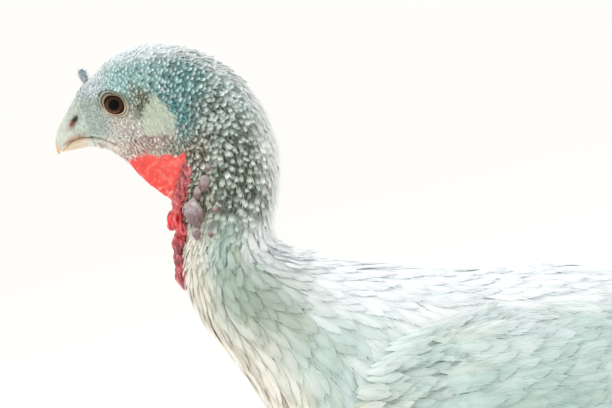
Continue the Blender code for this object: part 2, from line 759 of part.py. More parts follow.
def level_end(obj, ring, height):
    """Flattens one end ring of a tube onto a level plane."""
    for v in list(obj.data.vertices)[ring]:
        v.co.z = height * MM


def toe_line(side, toe):
    """Start and direction of a toe on the floor."""
    heading = math.radians(toe.heading)
    direction = np.array([-math.cos(heading), side * math.sin(heading)])
    return np.array([FOOT_X, side * FOOT_Y]), direction


def make_toe(side, toe):
    """One toe with its pads, sunk so far that the floor's plane gives it a flat sole."""
    start, direction = toe_line(side, toe)
    path, radii = [], []
    rows = 2 * toe.pads + 3
    for i in range(rows):
        f = i / (rows - 1)
        x, y = start + direction * toe.length * f
        swell = 1 + TOE_PAD_SWELL * math.cos(2 * math.pi * toe.pads * f)
        r = toe.radius * (TOE_ROOT - TOE_TAPER * f) * swell
        path.append((x, y, TOE_ROOT_RISE * (1 - f) + TOE_SINK * r))
        radii.append((r, r * 1.06))
    return tube("toe", path, radii, 8, "shank", facing=direction)


def make_foot(side, name):
    """Ankle, ball and toes, cut off level at the floor, and the claws."""
    foot_y = side * FOOT_Y
    stem_path = [(FOOT_X, foot_y, z) for z in (4, 16, ANKLE_Z - GAP / MM)]
    stem = tube(name, stem_path, [(11, 11), (9.6, 9.8), ANKLE_RADII], 10, "shank")
    pieces = [ball("pad", (FOOT_X - 4, foot_y, 4.5), (14, 12.5, 8.5), "shank", 0.0, 2)]
    pieces += [make_toe(side, toe) for toe in TOES]
    boolean(stem, pieces, "UNION")
    low, high = (FOOT_X - 150, foot_y - 100, -40), (FOOT_X + 150, foot_y + 100, 0)
    boolean(stem, [mesh_box("floor", low, high)], "DIFFERENCE")
    for toe in TOES:
        make_claw(side, name.replace("foot", "claw"), toe)


def make_claw(side, name, toe):
    """A blunt claw in line with its toe, arched and lying almost on the floor."""
    start, direction = toe_line(side, toe)
    toe_end = toe.radius * (TOE_ROOT - TOE_TAPER) * (1 + TOE_PAD_SWELL)
    root_radius = toe.radius * CLAW_ROOT
    path, radii = [], []
    for i in range(5):
        f = i / 4
        x, y = start + direction * (toe.length + GAP / MM + toe.claw * f)
        r = root_radius * (1 - CLAW_TAPER * f**1.2)
        arch = CLAW_ARCH * math.sin(math.pi * min(f, 0.9)) - CLAW_DROP * f * f
        path.append((x, y, max(TOE_SINK * toe_end + arch, r + GAP / MM)))
        radii.append((r, r * 0.86))
    tube(f"{name}_{toe.name}", path, radii, 8, "claw", facing=direction)


def mesh_box(name, low, high):
    corners = [
        (x * MM, y * MM, z * MM)
        for x in (low[0], high[0]) for y in (low[1], high[1]) for z in (low[2], high[2])
    ]
    faces = [(0, 1, 3, 2), (4, 6, 7, 5), (0, 4, 5, 1), (2, 3, 7, 6), (0, 2, 6, 4), (1, 5, 7, 3)]
    return mesh_object(name, corners, faces, "shank")


def set_down():
    """Moves the whole bird so that the middle of its box is over the origin."""
    corners = []
    for obj in bpy.context.scene.objects:
        corners += [v.co.copy() for v in obj.data.vertices]
    xs = [p.x for p in corners]
    shift = -(min(xs) + max(xs)) / 2
    for obj in bpy.context.scene.objects:
        for v in obj.data.vertices:
            v.co.x += shift


def shade_round():
    for obj in bpy.context.scene.objects:
        obj.data.shade_smooth()
        obj.data.set_sharp_from_angle(angle=math.radians(40))


def main():
    clear_scene()
    body_length("trunk", "plumage")
    make_head()
    make_neck()
    cutters = {name: body_length(name, "plumage", GAP) for name in LENGTHS}
    cutter = cutters["trunk"]
    make_eyes()
    make_bill()
    make_snood(cutters["head"])
    make_wattle([cutters[name] for name in ("head", "neck_upper", "neck_lower")])
    for side, word in ((LEFT, "left"), (RIGHT, "right")):
        make_wing(side, "wing_" + word, cutter)
        make_thigh(side, "thigh_" + word, cutter)
        make_shank(side, "shank_" + word)
        make_foot(side, "foot_" + word)
    make_tail(cutter)
    for other in cutters.values():
        bpy.data.objects.remove(other)
    set_down()
    shade_round()


main()
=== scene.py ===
# Looks of a white domestic turkey hen at life size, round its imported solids.
# Shapes are worked out in millimetres, in the frame that the solids were designed in,
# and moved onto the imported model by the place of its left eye.

import math
from collections import namedtuple

import bpy
import numpy as np
from bpy.props import FloatProperty, FloatVectorProperty, PointerProperty
from mathutils import Matrix, Vector, kdtree, noise


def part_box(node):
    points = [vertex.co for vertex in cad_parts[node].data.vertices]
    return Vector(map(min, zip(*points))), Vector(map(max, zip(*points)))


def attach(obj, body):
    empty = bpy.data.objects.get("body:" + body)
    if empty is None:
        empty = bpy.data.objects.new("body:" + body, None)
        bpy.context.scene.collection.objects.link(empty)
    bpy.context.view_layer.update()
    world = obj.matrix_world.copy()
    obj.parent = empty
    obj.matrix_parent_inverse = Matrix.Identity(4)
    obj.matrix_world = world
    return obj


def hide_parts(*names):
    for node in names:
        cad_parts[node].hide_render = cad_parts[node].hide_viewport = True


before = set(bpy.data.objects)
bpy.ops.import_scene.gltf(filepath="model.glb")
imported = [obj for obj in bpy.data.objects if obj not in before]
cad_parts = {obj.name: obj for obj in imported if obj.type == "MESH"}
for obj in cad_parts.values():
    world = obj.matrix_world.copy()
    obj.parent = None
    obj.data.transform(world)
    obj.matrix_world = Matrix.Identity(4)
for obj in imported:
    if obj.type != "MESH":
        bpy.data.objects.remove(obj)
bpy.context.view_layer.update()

bl_info = {
    "name": "Domestic turkey",
    "version": (1, 0, 0),
    "blender": (4, 5, 0),
    "location": "3D View > Sidebar > Turkey",
    "description": "Skin, feathers, bill, eyes and legs of a white domestic turkey hen",
    "category": "Object",
}

MM = 0.001
LEFT, RIGHT = -1, 1
SIDES = ((LEFT, "left"), (RIGHT, "right"))

# Each station is one slanting cut through head, neck or trunk: its dorsal and ventral
# points (x, z), half its width, how pear-shaped it is, and how thin its ventral edge
Station = namedtuple("Station", "dorsal ventral half_width pear web")
STATIONS = [Station(*row) for row in (
    ((-299, 621), (-294, 587.5), 9.0, 0, 0),
    ((-293, 626), (-288, 585.5), 12.0, 0.05, 0),
    ((-285.5, 630), (-283, 581.5), 14.5, 0.10, 0.1),
    ((-277, 635), (-278, 575), 16.5, 0.20, 0.3),
    ((-268, 639), (-273.5, 566), 17.5, 0.32, 0.5),
    ((-256, 641), (-267.5, 557), 18.0, 0.40, 0.6),
    ((-244, 640), (-262, 550), 18.5, 0.40, 0.6),
    ((-230, 635), (-257.5, 545), 19.0, 0.34, 0.5),
    ((-218, 628), (-254, 540), 20.0, 0.24, 0.4),
    ((-206.5, 617.5), (-252, 534), 21.0, 0.15, 0.3),
    ((-197, 604), (-251.5, 527), 22.0, 0.08, 0.15),
    ((-190, 587), (-253, 519), 23.0, 0.02, 0),
    ((-187.5, 568), (-256, 511), 24.0, 0, 0),
    ((-189, 550), (-258.5, 503), 25.5, 0, 0),
    ((-195, 532), (-260.5, 494), 27.0, 0, 0),
    ((-202, 517), (-260, 483.5), 29.0, 0, 0),
    ((-203, 506), (-257, 469), 32.0, 0, 0),
    ((-195, 496), (-251.5, 454), 39.0, -0.02, 0),
    ((-178, 487), (-243, 435), 50.0, -0.05, 0),
    ((-157, 480), (-232, 405), 64.0, -0.08, 0),
    ((-135, 473), (-230, 376), 77.0, -0.10, 0),
    ((-113, 465), (-241, 343), 88.0, -0.12, 0),
    ((-90, 458), (-251, 307), 97.0, -0.12, 0),
    ((-66, 454), (-242, 270), 103.0, -0.12, 0),
    ((-40, 450), (-208, 240), 106.0, -0.10, 0),
    ((-14, 442), (-158, 221), 106.0, -0.08, 0),
    ((10, 432), (-102, 215), 99.0, -0.05, 0),
    ((32, 421), (-48, 223), 90.0, 0, 0),
    ((51, 410), (-4, 243), 78.0, 0.04, 0),
    ((66, 400), (30, 271), 66.0, 0.06, 0),
    ((78, 391), (56, 301), 54.0, 0.06, 0),
    ((88, 383), (76, 328), 43.0, 0.06, 0),
    ((101, 376), (94, 334), 36.0, 0, 0),
    ((116, 369), (111, 334), 30.0, 0, 0),
)]
HEAD_END, NECK_MIDDLE = 9.0, 13.5
BODY_END = len(STATIONS) - 1.0

# Brow, ear patch, cheek and the hollow before the eye: (x, z), (radii), rise
FACE_RELIEFS = [
    ((-276, 620), (9, 3.5), 1.5),
    ((-251, 599), (9, 11), 1.3),
    ((-268, 597), (9, 4), 0.9),
    ((-287, 606), (4, 7), -1.0),
]
EYE = (-275.6, 10.2, 610.5)
EYE_RADIUS, IRIS_RADIUS = 8.2, 5.9

# Bill: (culmen x, z), (cutting edge x, z), half width
Cut = namedtuple("Cut", "top bottom half_width")
UPPER_BILL = [
    Cut((-299, 620.6), (-295.2, 594.9), 8.8),
    Cut((-303, 616.6), (-299.4, 595.8), 8.2),
    Cut((-308, 611.3), (-304, 595.8), 7.0),
    Cut((-312.4, 606.5), (-308.4, 595), 5.6),
    Cut((-315.8, 601.5), (-312.6, 593.4), 4.1),
    Cut((-317.8, 596.4), (-315.7, 591.3), 2.6),
    Cut((-318.3, 591.6), (-317.4, 589.2), 1.0),
]
LOWER_BILL = [
    Cut((-295.1, 594.3), (-294, 587.6), 8.0),
    Cut((-299.4, 595.2), (-299, 588.9), 7.2),
    Cut((-304, 595.2), (-304, 589.3), 6.0),
    Cut((-308.3, 594.3), (-308.8, 589.4), 4.5),
    Cut((-312, 592.7), (-312.6, 589.7), 3.0),
    Cut((-314.6, 591), (-314.8, 589.7), 1.4),
]
NOSTRIL, NOSTRIL_RADII, NOSTRIL_LEAN = (-302.9, 606.5), (1.7, 4.8), 0.80
# Groove from the nostril back along the bill, as a side line (x, z): not cut into the bill, only darkened
# along it as painted shade
BILL_GROOVE = [(-306.8, 602.2), (-300.5, 600.9), (-294.0, 600.3)]

# Snood on the forehead: x, z and radius, from its root to its end
SNOOD = [
    (-289.0, 622.0, 2.5), (-290.0, 627.6, 1.9), (-290.9, 631.0, 2.4),
    (-291.2, 633.9, 2.3), (-291.0, 635.8, 1.5),
]

# Bulbs of bare skin on each side of the neck: x, y, z, half width, half height, lean
CARUNCLES = [
    (-244.6, 20.0, 535.0, 5.4, 8.0, 0.10),
    (-234.0, 21.5, 551.0, 3.2, 5.2, 0.30),
    (-239.5, 20.0, 546.0, 2.4, 4.2, 0.35),
    (-229.5, 22.5, 560.0, 2.0, 3.0, 0.20),
    (-231.0, 23.0, 534.5, 2.2, 3.2, -0.20),
    (-246.0, 18.5, 522.5, 3.0, 4.4, 0.15),
    (-237.5, 23.0, 520.5, 2.2, 3.2, -0.10),
]
# Lobes of the wattle, from the throat down: x, y, z, radii and lean
WATTLE_LOBES = [
    (-246.0, 0.0, 551.0, 4.2, 4.4, 8.5, 0.60),
    (-252.5, 0.0, 541.5, 4.8, 5.4, 9.5, 0.50),
    (-258.0, 0.0, 532.5, 4.9, 5.4, 7.5, 0.40),
    (-255.0, 0.8, 525.0, 4.4, 5.6, 6.0, 0.00),
    (-259.0, 1.4, 516.5, 4.5, 6.2, 8.0, 0.15),
    (-261.0, -1.4, 507.0, 4.3, 6.0, 7.0, 0.05),
    (-262.0, 0.4, 496.5, 4.6, 6.2, 8.0, -0.10),
]
# The fold of bare skin from behind the throat down to the wattle, on each side: x, z
SIDE_FOLD, FOLD_RADII, FOLD_LEAN = ((-241, 562), (-258.5, 532)), (4.8, 3.2, 7.5), 0.56
# Patch of soft hairs over the ear, as a side outline (x, z)
EAR = [(-251.8, 611.0), (-262.6, 598.0), (-259.0, 591.2), (-246.0, 588.5), (-243.6, 597.4)]
# Bare red throat between jaw and wattle, as a side outline (x, z)
THROAT = [(-283, 577), (-268, 579.5), (-240, 573), (-244, 556), (-254, 541), (-262, 545), (-276, 564)]

# Folded wing: l runs back along it, m up across it, h out from the sheet it lies on
WING_ORIGIN = (-172.0, 382.0)
WING_SLOPE = math.radians(10.0)
SHEET_L = [-40.0, -15.0, 10.0, 35.0, 60.0, 90.0, 340.0]
SHEET_Y = [91.0, 106.0, 114.0, 117.5, 119.0, 119.0, 67.0]
SHEET_CURVES_FROM, SHEET_CURVE = -20.0, (142.0, 128.0)
ARM_CENTRE, ARM_RADII = (52.0, -2.0), (68.0, 68.0)
ARM_L = [-20.0, 5.0, 30.0, 60.0, 90.0, 120.0]
ARM_H = [-6.0, 0.5, 3.0, 2.0, -1.5, -4.0]

# Tail: l runs back along it, m across it, and h stands up from it
TAIL_ORIGIN = (78.0, 357.0)
TAIL_SLOPE = math.radians(23.0)

# Legs
HOCK_X, HOCK_TOP = -62.0, 158.0
LEG_Y, FOOT_Y = 58.0, 59.5
FOOT_X, ANKLE_Z = -96.0, 30.0
THIGH = [
    (-108, 44, 262, 50, 40), (-100, 56, 240, 47, 36), (-88, 61, 214, 37, 29),
    (-76, 61, 190, 25, 20), (-67, 59.5, 170, 15.5, 12.5), (HOCK_X, LEG_Y, HOCK_TOP, 10.5, 9.0),
]
SHANK_RADII, HOCK_SWELL, ANKLE_SWELL = (6.6, 5.6), (3.9, 3.4), (1.9, 2.6)
Toe = namedtuple("Toe", "name heading length radius pads claw")
TOES = [
    Toe("inner", -27, 46, 5.2, 2, 14),
    Toe("middle", 3, 66, 5.6, 3, 16),
    Toe("outer", 33, 50, 5.0, 3, 14),
    Toe("hind", 172, 27, 4.2, 1, 11),
]
TOE_ROOT, TOE_TAPER, TOE_PAD_SWELL = 1.18, 0.42, 0.13
TOE_SINK, TOE_ROOT_RISE = 0.72, 4.6

eye_low, eye_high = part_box("eye_left")
X_SHIFT = (eye_low.x + eye_high.x) / 2 / MM - EYE[0]


def srgb(red, green, blue):
    """A display colour (0 to 255) as the linear colour that a shader takes."""
    values = []
    for value in (red, green, blue):
        c = value / 255
        values.append(c / 12.92 if c <= 0.04045 else ((c + 0.055) / 1.055) ** 2.4)
    return tuple(values)


def smooth(f):
    f = np.clip(f, 0.0, 1.0)
    return f * f * (3 - 2 * f)


def blend(first, second, share):
    """Colours drawn from first towards second by share."""
    return np.asarray(first) * (1 - share) + np.asarray(second) * share


def turns(count):
    """Angles spread evenly round a full turn."""
    return 2 * math.pi * np.arange(count) / count


def add_object(name, data):
    made = bpy.data.objects.new(name, data)
    bpy.context.scene.collection.objects.link(made)
    return made


def unit(vectors):
    return vectors / np.maximum(np.linalg.norm(vectors, axis=-1, keepdims=True), 1e-9)


def along_rows(rows, t):
    """Rows of numbers at the places t, on a smooth curve through them all."""
    t = np.asarray(t, float)
    i = np.clip(np.floor(t).astype(int), 0, len(rows) - 2)
    f = (t - i)[..., None]
    a, b, c, d = (rows[np.clip(i + k, 0, len(rows) - 1)] for k in (-1, 0, 1, 2))
    return b + 0.5 * f * (c - a + f * (2 * a - 5 * b + 4 * c - d + f * (3 * (b - c) + d - a)))


STATION_ROWS = np.array([(*s.dorsal, *s.ventral, s.half_width, s.pear, s.web) for s in STATIONS])


def ring_side(a, pear, web):
    belly = smooth((-np.cos(a) - 0.1) / 0.75)
    return np.sin(a) * (1 + pear * np.cos(a)) * (1 - web * belly)


WIDEST_T = np.linspace(0, BODY_END, 200)
WIDEST = ring_side(
    np.linspace(0, math.pi, 90)[None], *along_rows(STATION_ROWS, WIDEST_T).T[5:, :, None]
).max(1)


def body_place(t, a):
    """Points of the body at station place t and angle a from the dorsal line."""
    dx, dz, vx, vz, half_width, pear, web = np.moveaxis(along_rows(STATION_ROWS, t), -1, 0)
    y = ring_side(a, pear, web) * half_width / np.interp(t, WIDEST_T, WIDEST)
    half = np.cos(a) / 2
    x = (dx + vx) / 2 + (dx - vx) * half
    z = (dz + vz) / 2 + (dz - vz) * half
    for (cx, cz), (rx, rz), rise in FACE_RELIEFS:
        near = np.exp(-((x - cx) / rx) ** 2 - ((z - cz) / rz) ** 2)
        y = y + np.tanh(y / 2) * rise * near
    return np.stack([x, y, z], -1)


class Surface:
    """A surface that feathers are planted on: place(u, v) in mm with u up to end, small
    steps of u and v, and which way is out."""

    def __init__(self, place, step_u, step_v, end, outward=1):
        self.place, self.step_u, self.step_v, self.end, self.outward = place, step_u, step_v, end, outward

    def frame(self, u, v):
        """Points, their changes with u and v, and outward normals."""
        eu, ev = self.step_u, self.step_v
        point = self.place(u, v)
        along = (self.place(u + eu, v) - self.place(u - eu, v)) / (2 * eu)
        round_it = (self.place(u, v + ev) - self.place(u, v - ev)) / (2 * ev)
        return point, along, round_it, unit(np.cross(along, round_it)) * self.outward


BODY = Surface(body_place, 0.04, 0.02, BODY_END)


def thigh_surface(side):
    rows = np.array([(x, side * y, z, r, w) for x, y, z, r, w in THIGH])

    def place(f, a):
        row = along_rows(rows, f)
        ahead = unit(along_rows(rows, f + 0.05)[..., :3] - along_rows(rows, f - 0.05)[..., :3])
        fore = unit(np.cross(ahead, np.array([0.0, 1.0, 0.0])))
        out = np.cross(fore, ahead)
        return (
            row[..., :3]
            - fore * (np.cos(a) * row[..., 3])[..., None]
            + out * (np.sin(a) * row[..., 4])[..., None]
        )

    return Surface(place, 0.04, 0.02, 5.0, -1)


def wing_place(side, l, m, h):
    """Turns wing places into points."""
    c, s = math.cos(WING_SLOPE), math.sin(WING_SLOPE)
    x = WING_ORIGIN[0] + c * l + s * m
    z = WING_ORIGIN[1] - s * l + c * m
    curve = np.interp(l, [90.0, 150.0], SHEET_CURVE)
    fall = 1 - (np.maximum(0, m - SHEET_CURVES_FROM) / curve) ** 2
    y = np.interp(l, SHEET_L, SHEET_Y) * fall
    return np.stack([x, side * (y + h), z], -1)


def wing_surface(side):
    """The feathered arm at the front of the folded wing, falling away round its rim."""

    def place(l, m):
        reach = np.hypot((l - ARM_CENTRE[0]) / ARM_RADII[0], (m - ARM_CENTRE[1]) / ARM_RADII[1])
        h = np.interp(l, ARM_L, ARM_H) - 5.0 - 16.0 * np.maximum(0, reach - 0.72) ** 1.5
        return wing_place(side, l, m, h)

    return Surface(place, 0.5, 0.5, 400.0, side * -1)


def tail_place(l, m, h):
    """Turns tail places (back, across, up) into points."""
    c, s = math.cos(TAIL_SLOPE), math.sin(TAIL_SLOPE)
    return np.stack([TAIL_ORIGIN[0] + c * l + s * h, m + 0 * l, TAIL_ORIGIN[1] - s * l + c * h], -1)


def noise_at(points, size, seed=0.0):
    return np.array([noise.noise(Vector(p) / size + Vector((seed, 0, 0))) for p in points])


def cells_at(points, size):
    """Distance to the nearest of scattered centres, in cell sizes, at each point."""
    return np.array([noise.voronoi(Vector(p) / size)[0][0] for p in points])


def scales_at(points, size):
    """Small rounded scales: 0 in the seams between them, 1 on them, at each point."""
    nearest = np.array([noise.voronoi(Vector(p) / size)[0][:2] for p in points])
    return smooth((nearest[:, 1] - nearest[:, 0] - 0.04) / 0.26)


class Pile:
    """Meshes gathered to become one piece: points in mm, triangles, colours and map."""

    def __init__(self):
        self.points, self.faces, self.tints, self.maps, self.barbs, self.normals = [], [], [], [], [], []
        self.count = 0

    def add(self, points, faces, tints, maps, barbs=None, normals=None, closed=True):
        """maps holds a place for each point, or for each corner of each triangle.
        A closed mesh that faces inwards is turned to face out."""
        maps = np.asarray(maps, float)
        maps = maps if maps.ndim == 3 else maps[faces]
        if closed:
            a, b, c = (points[faces[:, k]] - points[0] for k in range(3))
            if (a * np.cross(b, c)).sum() < 0:
                faces, maps = faces[:, ::-1], maps[:, ::-1]
        self.points.append(points)
        self.faces.append(faces + self.count)
        self.tints.append(np.broadcast_to(tints, (len(points), 3)))
        self.maps.append(maps)
        self.barbs.append(np.zeros((len(points), 3)) if barbs is None else barbs)
        if normals is not None:
            a, b, c = (points[faces[:, k]] for k in range(3))
            own = unit(np.cross(b - a, c - a))[:, None]
            facing = normals[faces]
            facing = facing * np.where((facing * own).sum(-1, keepdims=True) < 0, -1, 1)
            self.normals.append(unit(facing * 0.8 + own * 0.5).reshape(-1, 3))
        self.count += len(points)

    def piece(self, name, finish, slot_name, nodes=(), crisp=False):
        """Makes the object, on the frame, standing for its CAD nodes."""
        points = np.concatenate(self.points)
        faces = np.concatenate(self.faces).astype(np.int32)
        mesh = bpy.data.meshes.new(name)
        mesh.vertices.add(len(points))
        placed = (points + np.array([X_SHIFT, 0, 0])) * MM
        mesh.vertices.foreach_set("co", placed.astype(np.float32).ravel())
        mesh.loops.add(faces.size)
        mesh.loops.foreach_set("vertex_index", faces.ravel())
        mesh.polygons.add(len(faces))
        mesh.polygons.foreach_set("loop_start", np.arange(0, faces.size, 3, dtype=np.int32))
        mesh.update(calc_edges=True)
        tints = np.clip(np.concatenate(self.tints), 0, 1)
        colours = np.concatenate([tints, np.ones((len(tints), 1))], 1)
        tint = mesh.attributes.new("tint", "FLOAT_COLOR", "POINT")
        tint.data.foreach_set("color", colours.astype(np.float32).ravel())
        barbs = mesh.attributes.new("barbs", "FLOAT_VECTOR", "POINT")
        barbs.data.foreach_set("vector", np.concatenate(self.barbs).astype(np.float32).ravel())
        layer = mesh.uv_layers.new(name="OFBake")
        corners = np.clip(np.concatenate(self.maps), 0.0, 1.0)
        layer.data.foreach_set("uv", corners.astype(np.float32).ravel())
        mesh.shade_smooth()
        if crisp:
            mesh.set_sharp_from_angle(angle=math.radians(50))
        if self.normals:
            mesh.normals_split_custom_set(np.concatenate(self.normals))
        mesh.materials.append(finish)
        piece = add_object(name, mesh)
        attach(piece, "root")
        if nodes:
            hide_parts(*nodes)
        return piece


# Grids and strands

def grid_faces(rows, columns, wrap=False):
    """Triangles between the points of a grid, wrapping round its columns if asked."""
    across = columns if wrap else columns - 1
    i, j = np.meshgrid(np.arange(rows - 1), np.arange(across), indexing="ij")
    i, j = i.ravel(), j.ravel()
    k = (j + 1) % columns
    a, b = i * columns + j, i * columns + k
    c, d = b + columns, a + columns
    return np.concatenate([np.stack([a, b, c], 1), np.stack([a, c, d], 1)])


def grid_maps(rows, columns, wrap, low=(0.0, 0.0), high=(1.0, 1.0), row_places=None):
    """Map places for each corner of grid_faces, with no face across the seam."""
    faces = grid_faces(rows, columns, wrap)
    i, j = faces // columns, faces % columns
    if wrap:
        crossing = (j.max(1) == columns - 1) & (j.min(1) == 0)
        j = np.where(crossing[:, None] & (j == 0), columns, j)
    places = np.linspace(0, 1, rows) if row_places is None else row_places
    u = low[0] + (high[0] - low[0]) * places[i]
    v = low[1] + (high[1] - low[1]) * j / (columns if wrap else columns - 1)
    return np.stack([u, v], -1)


def add_tube(pile, grid, tints, low=(0.0, 0.0), high=(1.0, 1.0), row_places=None, inset=0.0):
    """Adds a closed tube from rings of points (rows, columns, 3), with fans as its ends."""
    rows, columns = grid.shape[:2]
    tints = np.broadcast_to(tints, grid.shape).reshape(-1, 3)
    faces = grid_faces(rows, columns, True)
    maps = grid_maps(rows, columns, True, low, high, row_places)
    points = np.concatenate([grid.reshape(-1, 3), grid[:1].mean(1), grid[-1:].mean(1)])
    tints = np.concatenate([tints, tints[:1], tints[-1:]])
    j = np.arange(columns)
    k = (j + 1) % columns
    first, last, top = rows * columns, rows * columns + 1, (rows - 1) * columns
    ends = [
        np.stack([np.full(columns, first), k, j], 1),
        np.stack([np.full(columns, last), top + j, top + k], 1),
    ]
    end_maps = [np.full((columns, 3, 2), place) for place in (np.add(low, inset), np.add(high, -inset))]
    pile.add(points, np.concatenate([faces, *ends]), tints, np.concatenate([maps, *end_maps]))


Shape = namedtuple("Shape", "points faces")


def strand(rings, tip):
    """A closed strand through rings of points, ending in one tip point."""
    count = len(rings[0])
    points = [point for ring in rings for point in ring] + [tip]
    faces = [(0, k + 1, k) for k in range(1, count - 1)]
    for r in range(len(rings) - 1):
        for k in range(count):
            a, b = r * count + k, r * count + (k + 1) % count
            faces += [(a, b, b + count), (a, b + count, a + count)]
    base = (len(rings) - 1) * count
    faces += [(base + k, base + (k + 1) % count, len(points) - 1) for k in range(count)]
    return Shape(np.array(points, float), np.array(faces))


def joined(shapes):
    points, faces, count = [], [], 0
    for shape in shapes:
        points.append(shape.points)
        faces.append(shape.faces + count)
        count += len(shape.points)
    return Shape(np.concatenate(points), np.concatenate(faces))


def petal(widths, cup, tip):
    """The closed vane of a small feather: (x, half width) rows from root to tip."""
    rings = [
        [(x, -w, -cup * w), (x, 0, 0.5), (x, w, -cup * w), (x, 0, -0.5)] for x, w in widths
    ]
    return strand(rings, (tip, 0, 0))


def barb(start, middle, end, half):
    """One fine barb from start to end, three-sided, ending in a point."""
    rings = []
    for (x, y, z), share in ((start, 1.0), (middle, 0.8)):
        rings.append([(x, y - half * share, z), (x, y + half * share, z), (x, y, z + 0.4)])
    return strand(rings, end)


PLUME_VANE = 0.72


def plume(rng, barbs, half, loose):
    """A soft body feather: a round closed vane inside a fan of fine barbs."""
    vane = PLUME_VANE
    rows = ((0.0, 0.12), (0.2, 0.6 * vane), (0.45, vane), (0.66, 0.85 * vane), (0.78, 0.5 * vane))
    shapes = [petal(rows, 0.25, 0.88)]
    for q in np.linspace(-1, 1, barbs):
        q = q + rng.uniform(-0.06, 0.06)
        reach = rng.uniform(1 - loose, 1.0)
        x1 = (0.66 + 0.46 * math.cos(q * math.pi / 2)) * reach
        y1 = math.sin(q * math.pi / 2) * rng.uniform(0.8, 1.12)
        x0 = x1 - rng.uniform(0.42, 0.55)
        z = rng.uniform(-0.3, 0.8)
        middle = ((x0 + x1) / 2, y1 * 0.66, 0.4 + z * 0.4)
        shapes.append(barb((x0, y1 * 0.25, 0.1), middle, (x1, y1, z), half))
    return joined(shapes)


def tuft(rng, blades, half, spread):
    """A few fine blades from one root."""
    shapes = []
    for q in np.linspace(-1, 1, blades):
        y1 = q * spread + rng.uniform(-0.2, 0.2)
        x1 = rng.uniform(0.75, 1.0)
        middle = (x1 * 0.5, y1 * 0.4, rng.uniform(0.0, 0.4))
        shapes.append(barb((0, q * 0.15, 0), middle, (x1, y1, rng.uniform(0, 1)), half))
    return joined(shapes)


# Planting

def scattered(surface, low, high, spacing, seed, keep=None):
    """Places (u, v) spread evenly over a patch of a surface, none nearer than spacing."""
    rng = np.random.default_rng(seed)

    def draw(count):
        u = rng.uniform(low[0], high[0], count)
        v = rng.uniform(low[1], high[1], count)
        point, along, round_it, _ = surface.frame(u, v)
        gap = spacing(u, v) + 0 * u
        dense = np.linalg.norm(np.cross(along, round_it), axis=-1) / gap**2
        return u, v, point, gap, dense

    dense = draw(3000)[4]
    wanted = dense.mean() * (high[0] - low[0]) * (high[1] - low[1])
    count = int(min(7 * wanted * np.percentile(dense, 98) / dense.mean(), 900000))
    u, v, point, gap, dense = draw(count)
    chosen = rng.random(count) < dense / np.percentile(dense, 98)
    if keep is not None:
        chosen &= keep(u, v, point)
    u, v, point, gap = u[chosen], v[chosen], point[chosen], gap[chosen]
    tree = kdtree.KDTree(len(u))
    for i, p in enumerate(point):
        tree.insert(p, i)
    tree.balance()
    free = np.ones(len(u), bool)
    kept = []
    for i, p in enumerate(point):
        if free[i]:
            kept.append(i)
            for _, j, _ in tree.find_range(p, gap[i]):
                free[j] = False
    return u[kept], v[kept]


LINE_STEPS = 4


def combed(surface, u, v, lie, length):
    """Lines along the lie of the coat: points and normals at a few steps from each root.
    A line that comes to the surface's end goes straight on."""
    points, ups, step = [], [], length / LINE_STEPS
    past = np.zeros((len(u), 1), bool)
    for _ in range(LINE_STEPS + 1):
        point, along, round_it, out = surface.frame(u, v)
        if points:
            point = np.where(past, points[-1] + heading * step[:, None], point)
        points.append(point)
        ups.append(out)
        heading = lie(point, unit(along), out)
        heading = unit(heading - out * (heading * out).sum(-1, keepdims=True))
        uu, uv, vv = ((a * b).sum(-1) for a, b in ((along, along), (along, round_it), (round_it, round_it)))
        hu, hv = (along * heading).sum(-1), (round_it * heading).sum(-1)
        det = uu * vv - uv * uv
        further = u + step * (vv * hu - uv * hv) / det
        past = past | (further > surface.end)[:, None]
        v = np.where(past[:, 0], v, v + step * (uu * hv - uv * hu) / det)
        u = np.where(past[:, 0], u, further)
    return np.stack(points, 1), np.stack(ups, 1)


